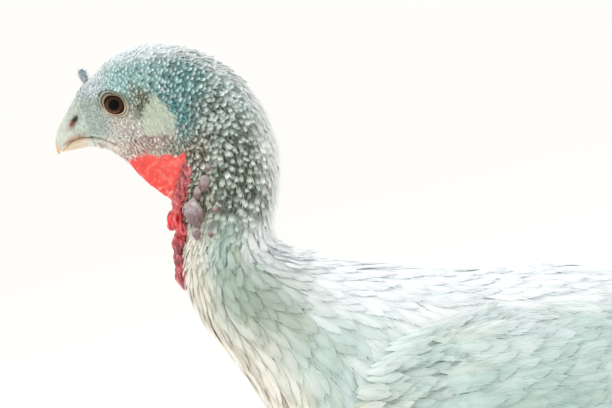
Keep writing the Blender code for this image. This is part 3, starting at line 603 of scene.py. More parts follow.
def plant(pile, surface, roots, lie, length, half_width, shapes, heights, tints, maps, seed,
          thickness, sway, roll, fade, spread=0.15, curl=0.0):
    """Adds one feather at each root. heights are over the surface at root and tip, tints
    the colours there, maps the map place of each root, sway and roll how far single
    feathers turn and lean, and fade where along it root colour turns to tip colour.
    Feathers are shaded as the surface under them is, because a real vane lets light
    through and has no dark side."""
    u, v = roots
    count = len(u)
    if not count:
        return
    rng = np.random.default_rng(seed)
    size = rng.uniform(1 - spread, 1 + spread, count)
    length = (length + 0 * u) * size
    half_width = half_width * size
    turn = rng.normal(0, sway, count)[:, None]

    def turned(point, along, out):
        return lie(point, along, out) + np.cross(out, along) * turn

    lines, ups = combed(surface, u, v, turned, length)
    aheads = unit(np.gradient(lines, axis=1))
    lean = rng.normal(0, roll, count)
    low, high = (h + 0 * u for h in heights)
    high = high * rng.uniform(0.8, 1.25, count)
    root_tint, tip_tint = (np.broadcast_to(tint, (count, 3)) for tint in tints)
    kind = rng.integers(len(shapes), size=count)
    for k, shape in enumerate(shapes):
        pick = np.flatnonzero(kind == k)
        if not len(pick):
            continue
        x, y, z = shape.points.T
        place = np.clip(x, 0, 1) * LINE_STEPS
        i = np.minimum(place.astype(int), LINE_STEPS - 1)
        f = (place - i)[None, :, None]

        def mixed(rows):
            return rows[pick][:, i] * (1 - f) + rows[pick][:, i + 1] * f

        base, up, ahead = mixed(lines), unit(mixed(ups)), unit(mixed(aheads))
        side = unit(np.cross(up, ahead))
        up, side = (
            up * np.cos(lean[pick])[:, None, None] - side * np.sin(lean[pick])[:, None, None],
            side * np.cos(lean[pick])[:, None, None] + up * np.sin(lean[pick])[:, None, None],
        )
        height = low[pick, None] + (high - low)[pick, None] * np.clip(x, 0, 1) ** 1.3 + thickness * z
        height = height - curl * (half_width[pick, None] * y) ** 2
        points = base + side * (half_width[pick, None] * y)[..., None] + up * height[..., None]
        shade = smooth((x - fade[0]) / (fade[1] - fade[0]))[None, :, None]
        tint = blend(root_tint[pick, None], tip_tint[pick, None], shade)
        spot = maps[pick, None] + 0.003 * np.stack([np.clip(x, 0, 1) - 0.5, y / 2], -1)[None]
        faces = shape.faces[None] + (np.arange(len(pick)) * len(x))[:, None, None]
        facing = unit(up + side * (0.2 * y)[None, :, None])
        pile.add(
            points.reshape(-1, 3), faces.reshape(-1, 3), tint.reshape(-1, 3), spot.reshape(-1, 2),
            normals=facing.reshape(-1, 3),
        )


def body_maps(t, a):
    """Map places of the body's skin: the head and upper neck take the first part."""
    u = np.interp(t, [0, HEAD_END, NECK_MIDDLE, BODY_END + 1], [0.002, 0.45, 0.62, 0.998])
    return np.stack([u, np.mod(a, 2 * math.pi) / (2 * math.pi)], -1)


# Markings, the same for skin and feathers

# Patches of the head and neck: centre (x, z), radii, tilt in degrees, and the display
# colours of skin, feather root and feather tip
Patch = namedtuple("Patch", "centre radii tilt skin root tip")
PATCHES = [Patch(*row) for row in (
    ((-288, 626), (10, 7), 20, (222, 230, 234), (200, 212, 218), (252, 252, 255)),
    ((-252, 640), (34, 6), -4, (216, 232, 234), (204, 224, 228), (255, 255, 255)),
    ((-262, 624), (18, 7), -6, (178, 215, 212), (124, 174, 172), (216, 245, 242)),
    ((-232, 612), (16, 14), -20, (98, 158, 156), (50, 102, 102), (190, 232, 228)),
    ((-240, 596), (8, 13), 10, (50, 126, 130), (22, 72, 80), (130, 208, 208)),
    ((-290, 604), (9, 11), 0, (192, 206, 196), (150, 166, 158), (226, 234, 224)),
    ((-286, 583), (13, 5), -12, (244, 236, 224), (238, 226, 212), (255, 250, 244)),
    ((-272, 597), (13, 6), -10, (236, 226, 214), (158, 144, 132), (255, 252, 246)),
    ((-260, 609), (5, 8), 0, (112, 118, 100), (64, 68, 54), (176, 182, 158)),
    ((-264, 585), (26, 6.5), 13, (188, 148, 134), (84, 54, 44), (255, 234, 222)),
    ((-236, 574), (10, 12), 0, (100, 96, 80), (56, 54, 42), (212, 208, 184)),
    ((-204, 602), (10, 28), 30, (158, 176, 172), (126, 148, 144), (226, 242, 239)),
    ((-216, 592), (10, 22), 30, (86, 106, 98), (46, 58, 50), (206, 228, 218)),
    ((-212, 556), (17, 34), 0, (84, 90, 74), (52, 54, 40), (200, 218, 202)),
    ((-191, 555), (9, 40), 0, (206, 208, 200), (192, 194, 186), (248, 250, 247)),
    ((-199, 516), (11, 14), 0, (212, 214, 208), (204, 206, 200), (248, 250, 247)),
    ((-243, 530), (12, 26), 0, (124, 110, 96), (70, 66, 50), (208, 208, 184)),
)]
THROAT_RED, THROAT_PALE = (242, 76, 66), (255, 196, 182)
BULB_PINK = (138, 112, 114)
# White and mint roots are lighter than their tips: painted light against the shade where the feathers
# overlap
WHITE_TIP, WHITE_ROOT = (231, 237, 240), (245, 248, 250)
# Mint is painted shade: it colours the flanks, the roots of the wing's flight feathers and the skin under
# the feathers
SHADE_MINT_TIP, SHADE_MINT_ROOT = (184, 209, 204), (198, 221, 214)
# Cream is painted warm light, bounced from the floor onto feathers that face forward
BOUNCE_CREAM_TIP, BOUNCE_CREAM_ROOT = (250, 248, 240), (247, 244, 235)
# Real stains, painted shade for the neck's groove, and a darker sage patch low on the neck
STAIN, GROOVE_SHADE_BROWN, SAGE = (170, 168, 128), (146, 132, 104), (158, 168, 144)
# Groove down the front of the neck, as a side line (x, z): not modelled, only darkened along it as painted
# shade
GROOVE = [(-258, 497), (-255, 486.5), (-246.5, 461.5), (-239.5, 450), (-228.5, 432.5), (-219, 414)]


def markings(points):
    """Colours of skin, feather root and feather tip at points of the body (mm)."""
    x = points[:, 0] + 4.0 * noise_at(points, 7.0, 1.0)
    z = points[:, 2] + 4.0 * noise_at(points, 7.0, 6.0)
    total = np.full(len(points), 1e-6)
    colours = np.zeros((3, len(points), 3))
    for patch in PATCHES:
        tilt = math.radians(patch.tilt)
        dx, dz = x - patch.centre[0], z - patch.centre[1]
        u = (dx * math.cos(tilt) + dz * math.sin(tilt)) / patch.radii[0]
        w = (-dx * math.sin(tilt) + dz * math.cos(tilt)) / patch.radii[1]
        weight = 1 / (0.25 + (u * u + w * w)) ** 2.2
        total += weight
        for k, colour in enumerate((patch.skin, patch.root, patch.tip)):
            colours[k] += weight[:, None] * np.array(srgb(*colour))
    colours /= total[None, :, None]
    return colours


def up_neck(points):
    """Height (mm) up the leaning neck, from a level a little over its soft plumes."""
    return 0.242 * (points[..., 0] + 177) + 0.970 * (points[..., 2] - 522)


def soft_coated(points):
    """0 on head and upper neck, rising to 1 where the neck's petals give way to plumes."""
    return smooth((-16 - up_neck(points)) / 8)


def paler_down(points):
    """0 on the upper neck, rising to 1, unevenly, where its dark ground gives way to white."""
    return smooth((2 + 8 * noise_at(points, 9.0, 14.0) - up_neck(points)) / 24)


def inside_outline(x, z, outline, soft):
    """1 inside a convex side outline, falling to 0 outside it over a soft edge."""
    depth = np.full(x.shape, 1e9)
    corners = np.array(outline, float)
    centre = corners.mean(0)
    for (ax, az), (bx, bz) in zip(corners, np.roll(corners, -1, 0)):
        nx, nz = az - bz, bx - ax
        size = math.hypot(nx, nz)
        sign = math.copysign(1, (centre[0] - ax) * nx + (centre[1] - az) * nz)
        depth = np.minimum(depth, sign * ((x - ax) * nx + (z - az) * nz) / size)
    return smooth(0.5 + depth / (2 * soft))


def coat_tints(points, out):
    """Root and tip colours of the white coat, with light and shade painted in by which way it faces: white
    above, painted mint shade on the flanks, painted warm cream bounce light before.
    """
    drift = 0.25 * noise_at(points, 30.0)
    # Painted light: places facing up or back keep the feathers' white, and the rest takes painted shade
    up = smooth((np.maximum(out[:, 2], out[:, 0] + 0.25) - 0.28 + drift) / 0.62)[:, None]
    # The painted light is moved by place: whiter at the foot of the nape, less white in a band along the
    # back at (-12, 420)
    nape_foot = gaussian(points[:, 0], points[:, 2], (-180, 486), (26, 13), -25)[:, None] * 0.85
    up = np.maximum(up, nape_foot)
    up = up * (1 - 0.6 * gaussian(points[:, 0], points[:, 2], (-12, 420), (60, 15), -6)[:, None])
    # Painted warm bounce light: places facing forward take cream, and the remaining sides take the painted
    # mint shade
    front = smooth((-out[:, 0] - 0.12 - drift) / 0.75)[:, None] * (1 - up)
    side = np.clip(1 - up - front, 0, 1)
    streak = noise_at(points * np.array([0.45, 1.0, 1.0]), 8.0, 21.0)[:, None]
    stain = smooth((streak - 0.22) / 0.4) * (1 - up) * 0.40
    roots, tips = (
        up * srgb(*white) + front * srgb(*cream) + side * srgb(*mint)
        for white, cream, mint in ((WHITE_ROOT, BOUNCE_CREAM_ROOT, SHADE_MINT_ROOT), (WHITE_TIP, BOUNCE_CREAM_TIP, SHADE_MINT_TIP))
    )
    share = up + front + side
    roots, tips = roots / share, tips / share
    sage = gaussian(points[:, 0], points[:, 2], (-227, 487), (18, 26), 20)[:, None] * 0.65
    # Painted shade along the groove down the front of the neck
    groove = 0.42 * np.exp(-((to_polyline(points[:, 0], points[:, 2], GROOVE) / 2.2) ** 2))[:, None]
    for colour, share in ((SAGE, sage), (GROOVE_SHADE_BROWN, groove), (STAIN, stain)):
        roots, tips = (blend(rows, srgb(*colour), share) for rows in (roots, tips))
    return roots, tips


# Finishes

# How far red, green and blue light sink into flesh, beside each other
FLESH_RADIUS = (1.0, 0.35, 0.25)


def finish(name, roughness, bumps=(), mottle=0.06, mottle_size=4.0, subsurface=0.0, coat=0.0, barbs=0.0,
           sheen=0.0, specular=0.5):
    """A finish whose colour is the points' own, with mottling and fine relief over it."""
    made = bpy.data.materials.new(name)
    made.use_nodes = True
    nodes, links = made.node_tree.nodes, made.node_tree.links
    shader = nodes["Principled BSDF"]
    tint = nodes.new("ShaderNodeAttribute")
    tint.attribute_name = "tint"
    places = nodes.new("ShaderNodeTexCoord")
    speckle = nodes.new("ShaderNodeTexNoise")
    speckle.inputs["Scale"].default_value = 1 / (mottle_size * MM)
    speckle.inputs["Detail"].default_value = 4.0
    links.new(places.outputs["Object"], speckle.inputs["Vector"])
    shade = nodes.new("ShaderNodeMapRange")
    ranges = (("From Min", 0.3), ("From Max", 0.7), ("To Min", 1.0 - mottle), ("To Max", 1.0 + mottle))
    for socket, value in ranges:
        shade.inputs[socket].default_value = value
    links.new(speckle.outputs["Fac"], shade.inputs["Value"])
    mottled = nodes.new("ShaderNodeMix")
    mottled.data_type = "RGBA"
    mottled.blend_type = "MULTIPLY"
    mottled.inputs["Factor"].default_value = 1.0
    links.new(tint.outputs["Color"], mottled.inputs[6])
    links.new(shade.outputs["Result"], mottled.inputs[7])
    links.new(mottled.outputs[2], shader.inputs["Base Color"])
    gloss = nodes.new("ShaderNodeMapRange")
    gloss.inputs["To Min"].default_value = roughness - 0.08
    gloss.inputs["To Max"].default_value = roughness + 0.08
    links.new(speckle.outputs["Fac"], gloss.inputs["Value"])
    links.new(gloss.outputs["Result"], shader.inputs["Roughness"])
    for socket, value in (
        ("Subsurface Weight", subsurface), ("Subsurface Radius", FLESH_RADIUS), ("Subsurface Scale", 0.004),
        ("Coat Weight", coat), ("Coat Roughness", 0.08), ("Sheen Weight", sheen),
        ("Sheen Roughness", 0.5), ("Specular IOR Level", specular),
    ):
        shader.inputs[socket].default_value = value
    below = None
    for kind, size, depth in bumps:
        if kind == "cells":
            texture = nodes.new("ShaderNodeTexVoronoi")
            height = texture.outputs["Distance"]
        else:
            texture = nodes.new("ShaderNodeTexNoise")
            texture.inputs["Detail"].default_value = 5.0
            height = texture.outputs["Fac"]
        texture.inputs["Scale"].default_value = 1 / (size * MM)
        links.new(places.outputs["Object"], texture.inputs["Vector"])
        below = add_bump(nodes, links, height, depth, below)
    if barbs:
        lines = nodes.new("ShaderNodeAttribute")
        lines.attribute_name = "barbs"
        bands = nodes.new("ShaderNodeTexWave")
        bands.bands_direction = "X"
        bands.inputs["Scale"].default_value = 0.5
        bands.inputs["Distortion"].default_value = 1.2
        links.new(lines.outputs["Vector"], bands.inputs["Vector"])
        below = add_bump(nodes, links, bands.outputs["Fac"], barbs, below)
    if below:
        links.new(below, shader.inputs["Normal"])
    return made


def feather_finish(name, mottle_size):
    """Soft white feathers: dull, with a faint bloom towards their edges."""
    return finish(name, 0.8, mottle=0.03, mottle_size=mottle_size, sheen=0.25, specular=0.15)


def vane_finish(name):
    """Flight feathers: firmer and a little glossier, with fine barbs."""
    return finish(name, 0.62, mottle=0.03, mottle_size=18.0, barbs=0.05, sheen=0.1, specular=0.25)


def add_bump(nodes, links, height, depth, below):
    bump = nodes.new("ShaderNodeBump")
    bump.inputs["Distance"].default_value = depth * MM
    links.new(height, bump.inputs["Height"])
    if below:
        links.new(below, bump.inputs["Normal"])
    return bump.outputs["Normal"]


# Skin

SKIN_COLUMNS = 208
COAT_DEPTH_T = [0.0, 9.0, 12.0, 14.0, 16.0, 18.0, 22.0, 31.0, 33.0]
COAT_DEPTH = [0.0, 0.0, 0.4, 0.8, 1.4, 2.0, 2.4, 2.4, 2.2]
MOUTH = [(-299, 595.2), (-294, 594.2), (-289, 592.2), (-285, 589.4), (-281.5, 586.4)]
LID_MARGIN, LID_REACH, LID_TILT = (5.4, 5.3), (8.7, 8.1), math.radians(127)


def to_polyline(x, z, line):
    """Distance in the side plane from points to a line of short pieces."""
    near = np.full(x.shape, 1e9)
    for (ax, az), (bx, bz) in zip(line, line[1:]):
        f = np.clip(((x - ax) * (bx - ax) + (z - az) * (bz - az)) / ((bx - ax) ** 2 + (bz - az) ** 2), 0, 1)
        near = np.minimum(near, np.hypot(x - ax - f * (bx - ax), z - az - f * (bz - az)))
    return near


def lid_stretch(turn, reach):
    """How far the lids are drawn out towards their corners, the front one most."""
    along = np.cos(turn - LID_TILT)
    return 1 + (0.20 * (1 - reach) + np.where(along > 0, 0.46, 0.22) * reach) * along**4


def from_eye(x, z):
    """Distance from the eye's middle in the side plane, 1 on the outer edge of the lids."""
    dx, dz = x - EYE[0], z - EYE[2]
    stretch = lid_stretch(np.arctan2(dz, dx), 1)
    return np.hypot(dx / LID_REACH[0], dz / LID_REACH[1]) / stretch


def skin_relief(points, t):
    """How far skin stands out of the plain form: pebbles, folds, mouth and eye socket."""
    x, z = points[:, 0], points[:, 2]
    bare = smooth((13.5 - t) / 2.5)
    throat = inside_outline(x, z, THROAT, 3.0)
    relief = bare * 0.5 * (0.45 - cells_at(points, 1.9)) * (0.6 + 0.6 * throat)
    relief += 0.5 * throat * noise_at(points * np.array([1, 1, 0.45]), 3.0, 5.0)
    folds = smooth((t - 8.5) / 1.5) * bare
    relief += 0.7 * folds * noise_at(points * np.array([0.5, 0.5, 1.6]), 5.0, 9.0)
    relief -= 1.1 * np.exp(-((to_polyline(x, z, MOUTH) / 0.7) ** 2))
    relief += 0.5 * np.exp(-(((to_polyline(x, z, MOUTH) - 1.6) / 0.8) ** 2))
    socket = from_eye(x, z)
    relief = relief * smooth((socket - 0.75) / 0.4) - 2.6 * smooth((1.02 - socket) / 0.35)
    return relief


def make_skin(head):
    pile = Pile()
    t = np.concatenate([
        np.linspace(0.0, HEAD_END, 165), np.linspace(HEAD_END, NECK_MIDDLE, 92)[1:],
        np.linspace(NECK_MIDDLE, BODY_END, 96)[1:],
    ])
    a = turns(SKIN_COLUMNS)
    tt, aa = (grid.ravel() for grid in np.meshgrid(t, a, indexing="ij"))
    points, _, _, out = BODY.frame(tt, aa)
    points = points - out * np.interp(tt, COAT_DEPTH_T, COAT_DEPTH)[:, None]
    near = tt < NECK_MIDDLE + 4.0
    points[near] += out[near] * skin_relief(points[near], tt[near])[:, None]
    tints = coat_tints(points, out)[0]
    low = paler_down(points[near])[:, None]
    tints[near] = blend(skin_colours(points[near], tt[near]), tints[near], low)
    shape = (len(t), SKIN_COLUMNS, 3)
    places = body_maps(t, np.zeros(len(t)))[:, 0]
    add_tube(pile, points.reshape(shape), tints.reshape(shape), row_places=places, inset=0.001)
    add_lids(pile, points[tt < 6])
    for side, _ in SIDES:
        thigh = thigh_surface(side)
        f = np.linspace(0, 5, 30)
        ff, aa = np.meshgrid(f, turns(40), indexing="ij")
        grid, _, _, out = thigh.frame(ff, aa)
        depth = np.interp(ff, [0, 2, 4, 5], [6, 6, 3, 0.6])[..., None]
        add_tube(pile, grid - out * depth, srgb(*SHADE_MINT_ROOT), (0.0, 0.0), (0.001, 0.001))
        for x, y, z, width, height, lean in CARUNCLES:
            place = np.array([x, side * (y if width > 5 else y - 1.2), z])
            add_bulb(pile, place, (width, 3.0 + 0.25 * width, height), lean, 0.08, bulb_tints, 36, 26)
    finish_skin = finish(
        "skin", 0.52, (("noise", 0.9, 0.12), ("cells", 0.7, 0.10)), 0.14, 2.2, head.flesh, 0.08
    )
    return pile.piece(
        "skin", finish_skin, "face_skin",
        ("head", "neck_upper", "neck_lower", "trunk", "thigh_left", "thigh_right"),
    )


def skin_colours(points, t):
    colours = markings(points)[0]
    throat = inside_outline(points[:, 0], points[:, 2], THROAT, 1.8)[:, None]
    front = smooth((561 - points[:, 2] - 0.5 * (points[:, 0] + 262)) / 16)
    grain = smooth((0.6 * noise_at(points, 1.3, 3.0) + noise_at(points, 2.8, 8.0) + 0.05) / 0.5)
    grain = (grain * (0.22 + 0.6 * front))[:, None]
    red = blend(srgb(*THROAT_RED), srgb(*THROAT_PALE), grain)
    colours = blend(colours, red, throat)
    dark = smooth(noise_at(points, 1.6, 11.0) / 0.5)[:, None] * smooth((points[:, :1] + 300) / 30)
    colours = colours * (1 - 0.4 * dark * (1 - throat))
    near_bill = smooth((2.2 - t) / 2.2)[:, None] * smooth((points[:, 2:] - 588) / 6)
    colours = blend(colours, srgb(194, 210, 200), near_bill)
    line = 0.75 * np.exp(-((to_polyline(points[:, 0], points[:, 2], MOUTH) / 0.7) ** 2))[:, None]
    return blend(colours, srgb(110, 80, 60), line)


def bulb_tints(points, out):
    # Painted highlight: the upward-facing side of each bulb is paler
    high = smooth((out[:, 2] + 0.4) / 1.2)[:, None]
    colours = blend(srgb(*BULB_PINK), srgb(196, 184, 186), high)
    grain = noise_at(points, 2.0, 2.0) + 0.6 * noise_at(points, 0.8, 12.0)
    return colours * (0.97 + 0.45 * grain[:, None])


def add_bulb(pile, centre, radii, lean, wrinkle, tints_of, columns, rows):
    """A fleshy bulb: a leaning ellipsoid with fine wrinkles down it."""
    down = np.linspace(0.04, math.pi - 0.04, rows)[:, None]
    turn = turns(columns)[None]
    ball = np.stack([np.sin(down) * np.cos(turn), np.sin(down) * np.sin(turn), np.cos(down) + 0 * turn], -1)
    flat = ball.reshape(-1, 3)
    c, s = math.cos(lean), math.sin(lean)
    placed = flat * np.array(radii)
    creases = noise_at(placed * np.array([1, 1, 0.3]) + centre, 1.3) * wrinkle * 2
    creases += noise_at(placed + centre, 3.5, 4.0) * wrinkle * 3
    placed = placed * (1 + creases[:, None])
    x, y, z = placed.T
    points = np.stack([c * x + s * z, y, c * z - s * x], 1) + centre
    tints = tints_of(points, flat)
    round_neck = math.pi if centre[1] == 0 else math.copysign(2.2, centre[1])
    spot = body_maps(np.array([10.0]), np.array([round_neck]))[0]
    add_tube(pile, points.reshape(rows, columns, 3), tints.reshape(rows, columns, 3), spot, spot + 0.006)


def add_lids(pile, face):
    """Upper and lower lids with their folds, as rings round each eye."""
    right = face[:, 1] > 4
    tree = kdtree.KDTree(int(right.sum()))
    for i, p in enumerate(face[right]):
        tree.insert((p[0], 0, p[2]), i)
    tree.balance()
    rows, columns = 30, 96
    s = np.linspace(0, 1, rows)
    turn = turns(columns)
    for side, _ in SIDES:
        grid = np.zeros((rows, columns, 3))
        tints = np.zeros((rows, columns, 3))
        for j, b in enumerate(turn):
            for i, f in enumerate(s):
                reach = max(f - 0.08, 0) / 0.92
                stretch = float(lid_stretch(b, reach))
                rx = (LID_MARGIN[0] + (LID_REACH[0] - LID_MARGIN[0]) * reach) * stretch
                rz = (LID_MARGIN[1] + (LID_REACH[1] - LID_MARGIN[1]) * reach) * stretch
                dx, dz = rx * math.cos(b), rz * math.sin(b)
                ball = math.sqrt(max(EYE_RADIUS**2 - min(dx * dx + dz * dz, 60), 1))
                if f < 0.08:
                    y = EYE[1] + ball - 0.6 + 1.4 * math.sin(f / 0.08 * math.pi / 2)
                else:
                    margin = math.sqrt(EYE_RADIUS**2 - 36.0) + EYE[1] + 1.1
                    skin = face_height(tree, face[right], EYE[0] + dx, EYE[2] + dz)
                    share = float(smooth(reach / 0.8))
                    folds = 0.45 * fold_wave(reach, b)
                    folds += 0.25 * noise.noise(Vector((dx, dz, side * 9)) / 1.1)
                    tucked = 2.3 * float(smooth((reach - 0.82) / 0.18))
                    y = margin * (1 - share) + (skin + 1.5) * share + folds - tucked
                grid[i, j] = (EYE[0] + dx, side * y, EYE[2] + dz)
                fold_shade = 0.5 + 0.5 * fold_wave(reach, b)
                grain = 1 + 0.35 * noise.noise(Vector((dx, dz, side * 5)) / 0.9)
                tints[i, j] = lid_tint(f, reach, fold_shade, math.sin(b)) * grain
        faces = grid_faces(rows, columns, True)
        if side == LEFT:
            faces = faces[:, ::-1]
        spot = body_maps(np.array([3.2]), np.array([math.copysign(1.2, side)]))[0]
        maps = grid_maps(rows, columns, True, spot, spot + 0.03)
        if side == LEFT:
            maps = maps[:, ::-1]
        pile.add(grid.reshape(-1, 3), faces, tints.reshape(-1, 3), maps, closed=False)


def fold_wave(reach, b):
    """The folds of the lids, from 1 on a crest to -1 in a groove, strongest at the corners."""
    drift = 0.08 * math.sin(2 * b + 0.6) + 0.05 * math.sin(5 * b + 2.0) + 0.04 * math.sin(9 * b)
    along = math.cos(b - LID_TILT)
    strength = 0.15 + (0.85 if along > 0 else 0.55) * along**2
    return strength * math.cos(2 * math.pi * (2.38 * reach + drift - 0.45))


def face_height(tree, face, x, z):
    """How far out the face stands at a place of the side plane."""
    near = tree.find_n((x, 0, z), 4)
    weights = [1 / (d + 0.05) for _, _, d in near]
    return sum(w * face[i][1] for w, (_, i, _) in zip(weights, near)) / sum(weights)


def lid_tint(f, reach, fold_shade, height):
    low = float(smooth((0.4 - height) / 0.9))
    pale = blend(srgb(146, 148, 128), srgb(218, 200, 178), low)
    edge = float(smooth((0.19 - f) / 0.06))
    # Painted shade in the grooves between the lid's folds: dark brown where the fold wave dips
    share = min(1.1 * (1 - fold_shade) ** 1.3, 1.0)
    colour = blend(pale, srgb(100, 74, 54), share)
    outer = 0.8 * float(smooth((reach - 0.25) / 0.45)) * fold_shade
    around = srgb(158, 180, 174) if height > 0 else srgb(182, 192, 180)
    colour = blend(colour, around, outer)
    return blend(colour, srgb(40, 27, 22), edge)


# Head and neck coat

def away_from_features(points):
    """1 where small feathers grow on the head, 0 on lids, mouth, throat and bulbs."""
    x, z = points[:, 0], points[:, 2]
    free = smooth((from_eye(x, z) - 0.90) / 0.12) * (1 - inside_outline(x, z, THROAT, 2.0))
    free *= smooth((to_polyline(x, z, MOUTH) - 0.9) / 0.6)
    for cx, cy, cz, width, height, _ in CARUNCLES:
        bare = 0.6 if width > 5 else 0.25
        free *= smooth((np.hypot((x - cx) / width, (z - cz) / height) - bare) / 0.3)
    return free


def thinned(share):
    """A test that keeps a place by chance, as often as share(points) says."""
    rng = np.random.default_rng(17)

    def keep(u, v, points):
        return rng.random(len(u)) < share(points)

    return keep


def gaussian(x, z, centre, radii, tilt=0.0):
    c, s = math.cos(math.radians(tilt)), math.sin(math.radians(tilt))
    dx, dz = x - centre[0], z - centre[1]
    u, w = (dx * c + dz * s) / radii[0], (-dx * s + dz * c) / radii[1]
    return np.exp(-(u * u + w * w))


def bristly(points):
    """1 on cheek and jaw, where the coat is hair-like."""
    x, z = points[:, 0], points[:, 2]
    jaw = gaussian(x, z, (-264, 586), (28, 12), 12)
    cheek = gaussian(x, z, (-284, 601), (14, 12))
    below_eye = gaussian(x, z, (-270, 597), (15, 9), 12)
    return np.clip(1.6 * np.maximum(np.maximum(jaw, cheek), below_eye), 0, 1)


def ear_patch(points):
    ragged = points[:, 0] + 1.6 * noise_at(points, 2.5, 4.0)
    return inside_outline(ragged, points[:, 2], EAR, 2.4)


def back_and_down(amount):
    def lie(point, along, out):
        return along + np.array([0.0, 0.0, -amount])

    return lie


def speckled(seed, points):
    """Shades for small feathers: about one in seven is dark, and all are evener on crown and face."""
    rng = np.random.default_rng(seed)
    count = len(points)
    shade = rng.uniform(0.7, 1.12, count) * np.where(rng.random(count) < 0.15, 0.5, 1.0)
    even = np.maximum(smooth((points[:, 2] - 626) / 10), smooth((-262 - points[:, 0]) / 14))
    return (1 - (1 - shade) * (1 - 0.75 * even))[:, None]


def paled(seed, tips, most):
    """Tip colours of small feathers, some of them drawn towards white."""
    share = most * np.random.default_rng(seed).random(len(tips))[:, None] ** 1.6
    return blend(tips, srgb(244, 251, 249), share)


def make_head_coat(head):
    pile = Pile()
    rng = np.random.default_rng(5)
    scales = [
        joined([petal(((0, 0.35), (0.4, 0.95), (0.75, 0.75)), 0.5, 0.95), tuft(rng, 3, 0.24, 0.85)])
        for _ in range(4)
    ]
    hairs = [tuft(rng, 2, 0.55, 0.6) for _ in range(4)]
    size = head.feather_length / MM

    def length_at(t):
        return size * np.interp(t, [0, 2, 3, 5, 8, 10], [0.6, 0.85, 1.1, 1.3, 1.75, 2.4])

    def spacing(t, a):
        return 0.56 * length_at(t)

    def small(points):
        near_bill = smooth((points[:, 0] + 301) / 16)
        away = away_from_features(points) * (1 - ear_patch(points)) ** 3
        return near_bill * away * (1 - 0.9 * bristly(points))

    t, a = scattered(BODY, (0.12, 0), (9.8, 2 * math.pi), spacing, 21, thinned(small))
    points = body_place(t, a)
    _, root, tip = markings(points)
    shade = speckled(8, points)
    plant(
        pile, BODY, (t, a), back_and_down(0.1), length_at(t), 0.42 * length_at(t), scales,
        (-0.1, 0.42 * length_at(t)), (root * shade, paled(61, tip, 0.75) * shade),
        body_maps(t, a), 31, 0.22, 0.2, 0.3, (0.25, 0.9),
    )
    hairy = thinned(lambda points: away_from_features(points) * bristly(points) * (1 - ear_patch(points)))
    t, a = scattered(BODY, (0.15, 0), (8.6, 2 * math.pi), lambda t, a: 0.95 + 0 * t, 22, hairy)
    points = body_place(t, a)
    _, root, tip = markings(points)
    shade = np.random.default_rng(9).uniform(0.6, 1.15, len(t))[:, None]
    reach = 2.2 + 2.4 * gaussian(points[:, 0], points[:, 2], (-264, 589), (24, 14), 12)
    reach += 3.0 * gaussian(points[:, 0], points[:, 2], (-258, 578), (20, 5), 8)
    plant(
        pile, BODY, (t, a), back_and_down(0.55), reach, 0.5, hairs,
        (-0.1, 1.1), (root * shade, tip * shade), body_maps(t, a), 32, 0.16, 0.25, 0.3, (0.1, 0.7),
    )
    fine_feathers = finish("head feathers", 0.7, mottle=0.10, sheen=0.15, specular=0.2)
    pile.piece("head_feathers", fine_feathers, "plumage")

    pile = Pile()
    t, a = scattered(BODY, (4.0, 0), (9.0, 2 * math.pi), lambda t, a: 0.72 + 0 * t, 23, thinned(ear_patch))
    fine = [tuft(rng, 4, 0.16, 0.9) for _ in range(4)]

    def fan(point, along, out):
        dx, dz = point[:, 0] + 255.0, point[:, 2] - 630.0
        return unit(np.stack([dx, 0 * dx, dz], 1)) + 0.3 * along

    shade = np.random.default_rng(10).uniform(0.88, 1.06, len(t))[:, None]
    plant(
        pile, BODY, (t, a), fan, 4.5, 0.9, fine, (0.0, 1.5),
        (np.array(srgb(196, 208, 190)) * shade, np.array(srgb(226, 234, 218)) * shade),
        body_maps(t, a), 33, 0.2, 0.15, 0.3, (0.0, 0.6),
    )
    pile.piece("ear_tufts", finish("ear tufts", 0.75, sheen=0.2, specular=0.2), "plumage")


def neck_tints(points, t, a, low, most):
    """Root and tip colours on the neck, turning to the white coat's by low."""
    _, root, tip = markings(points)
    soft_root, soft_tip = coat_tints(points, BODY.frame(t, a)[3])
    return blend(root, soft_root, low), blend(paled(62, tip, most), soft_tip, low)


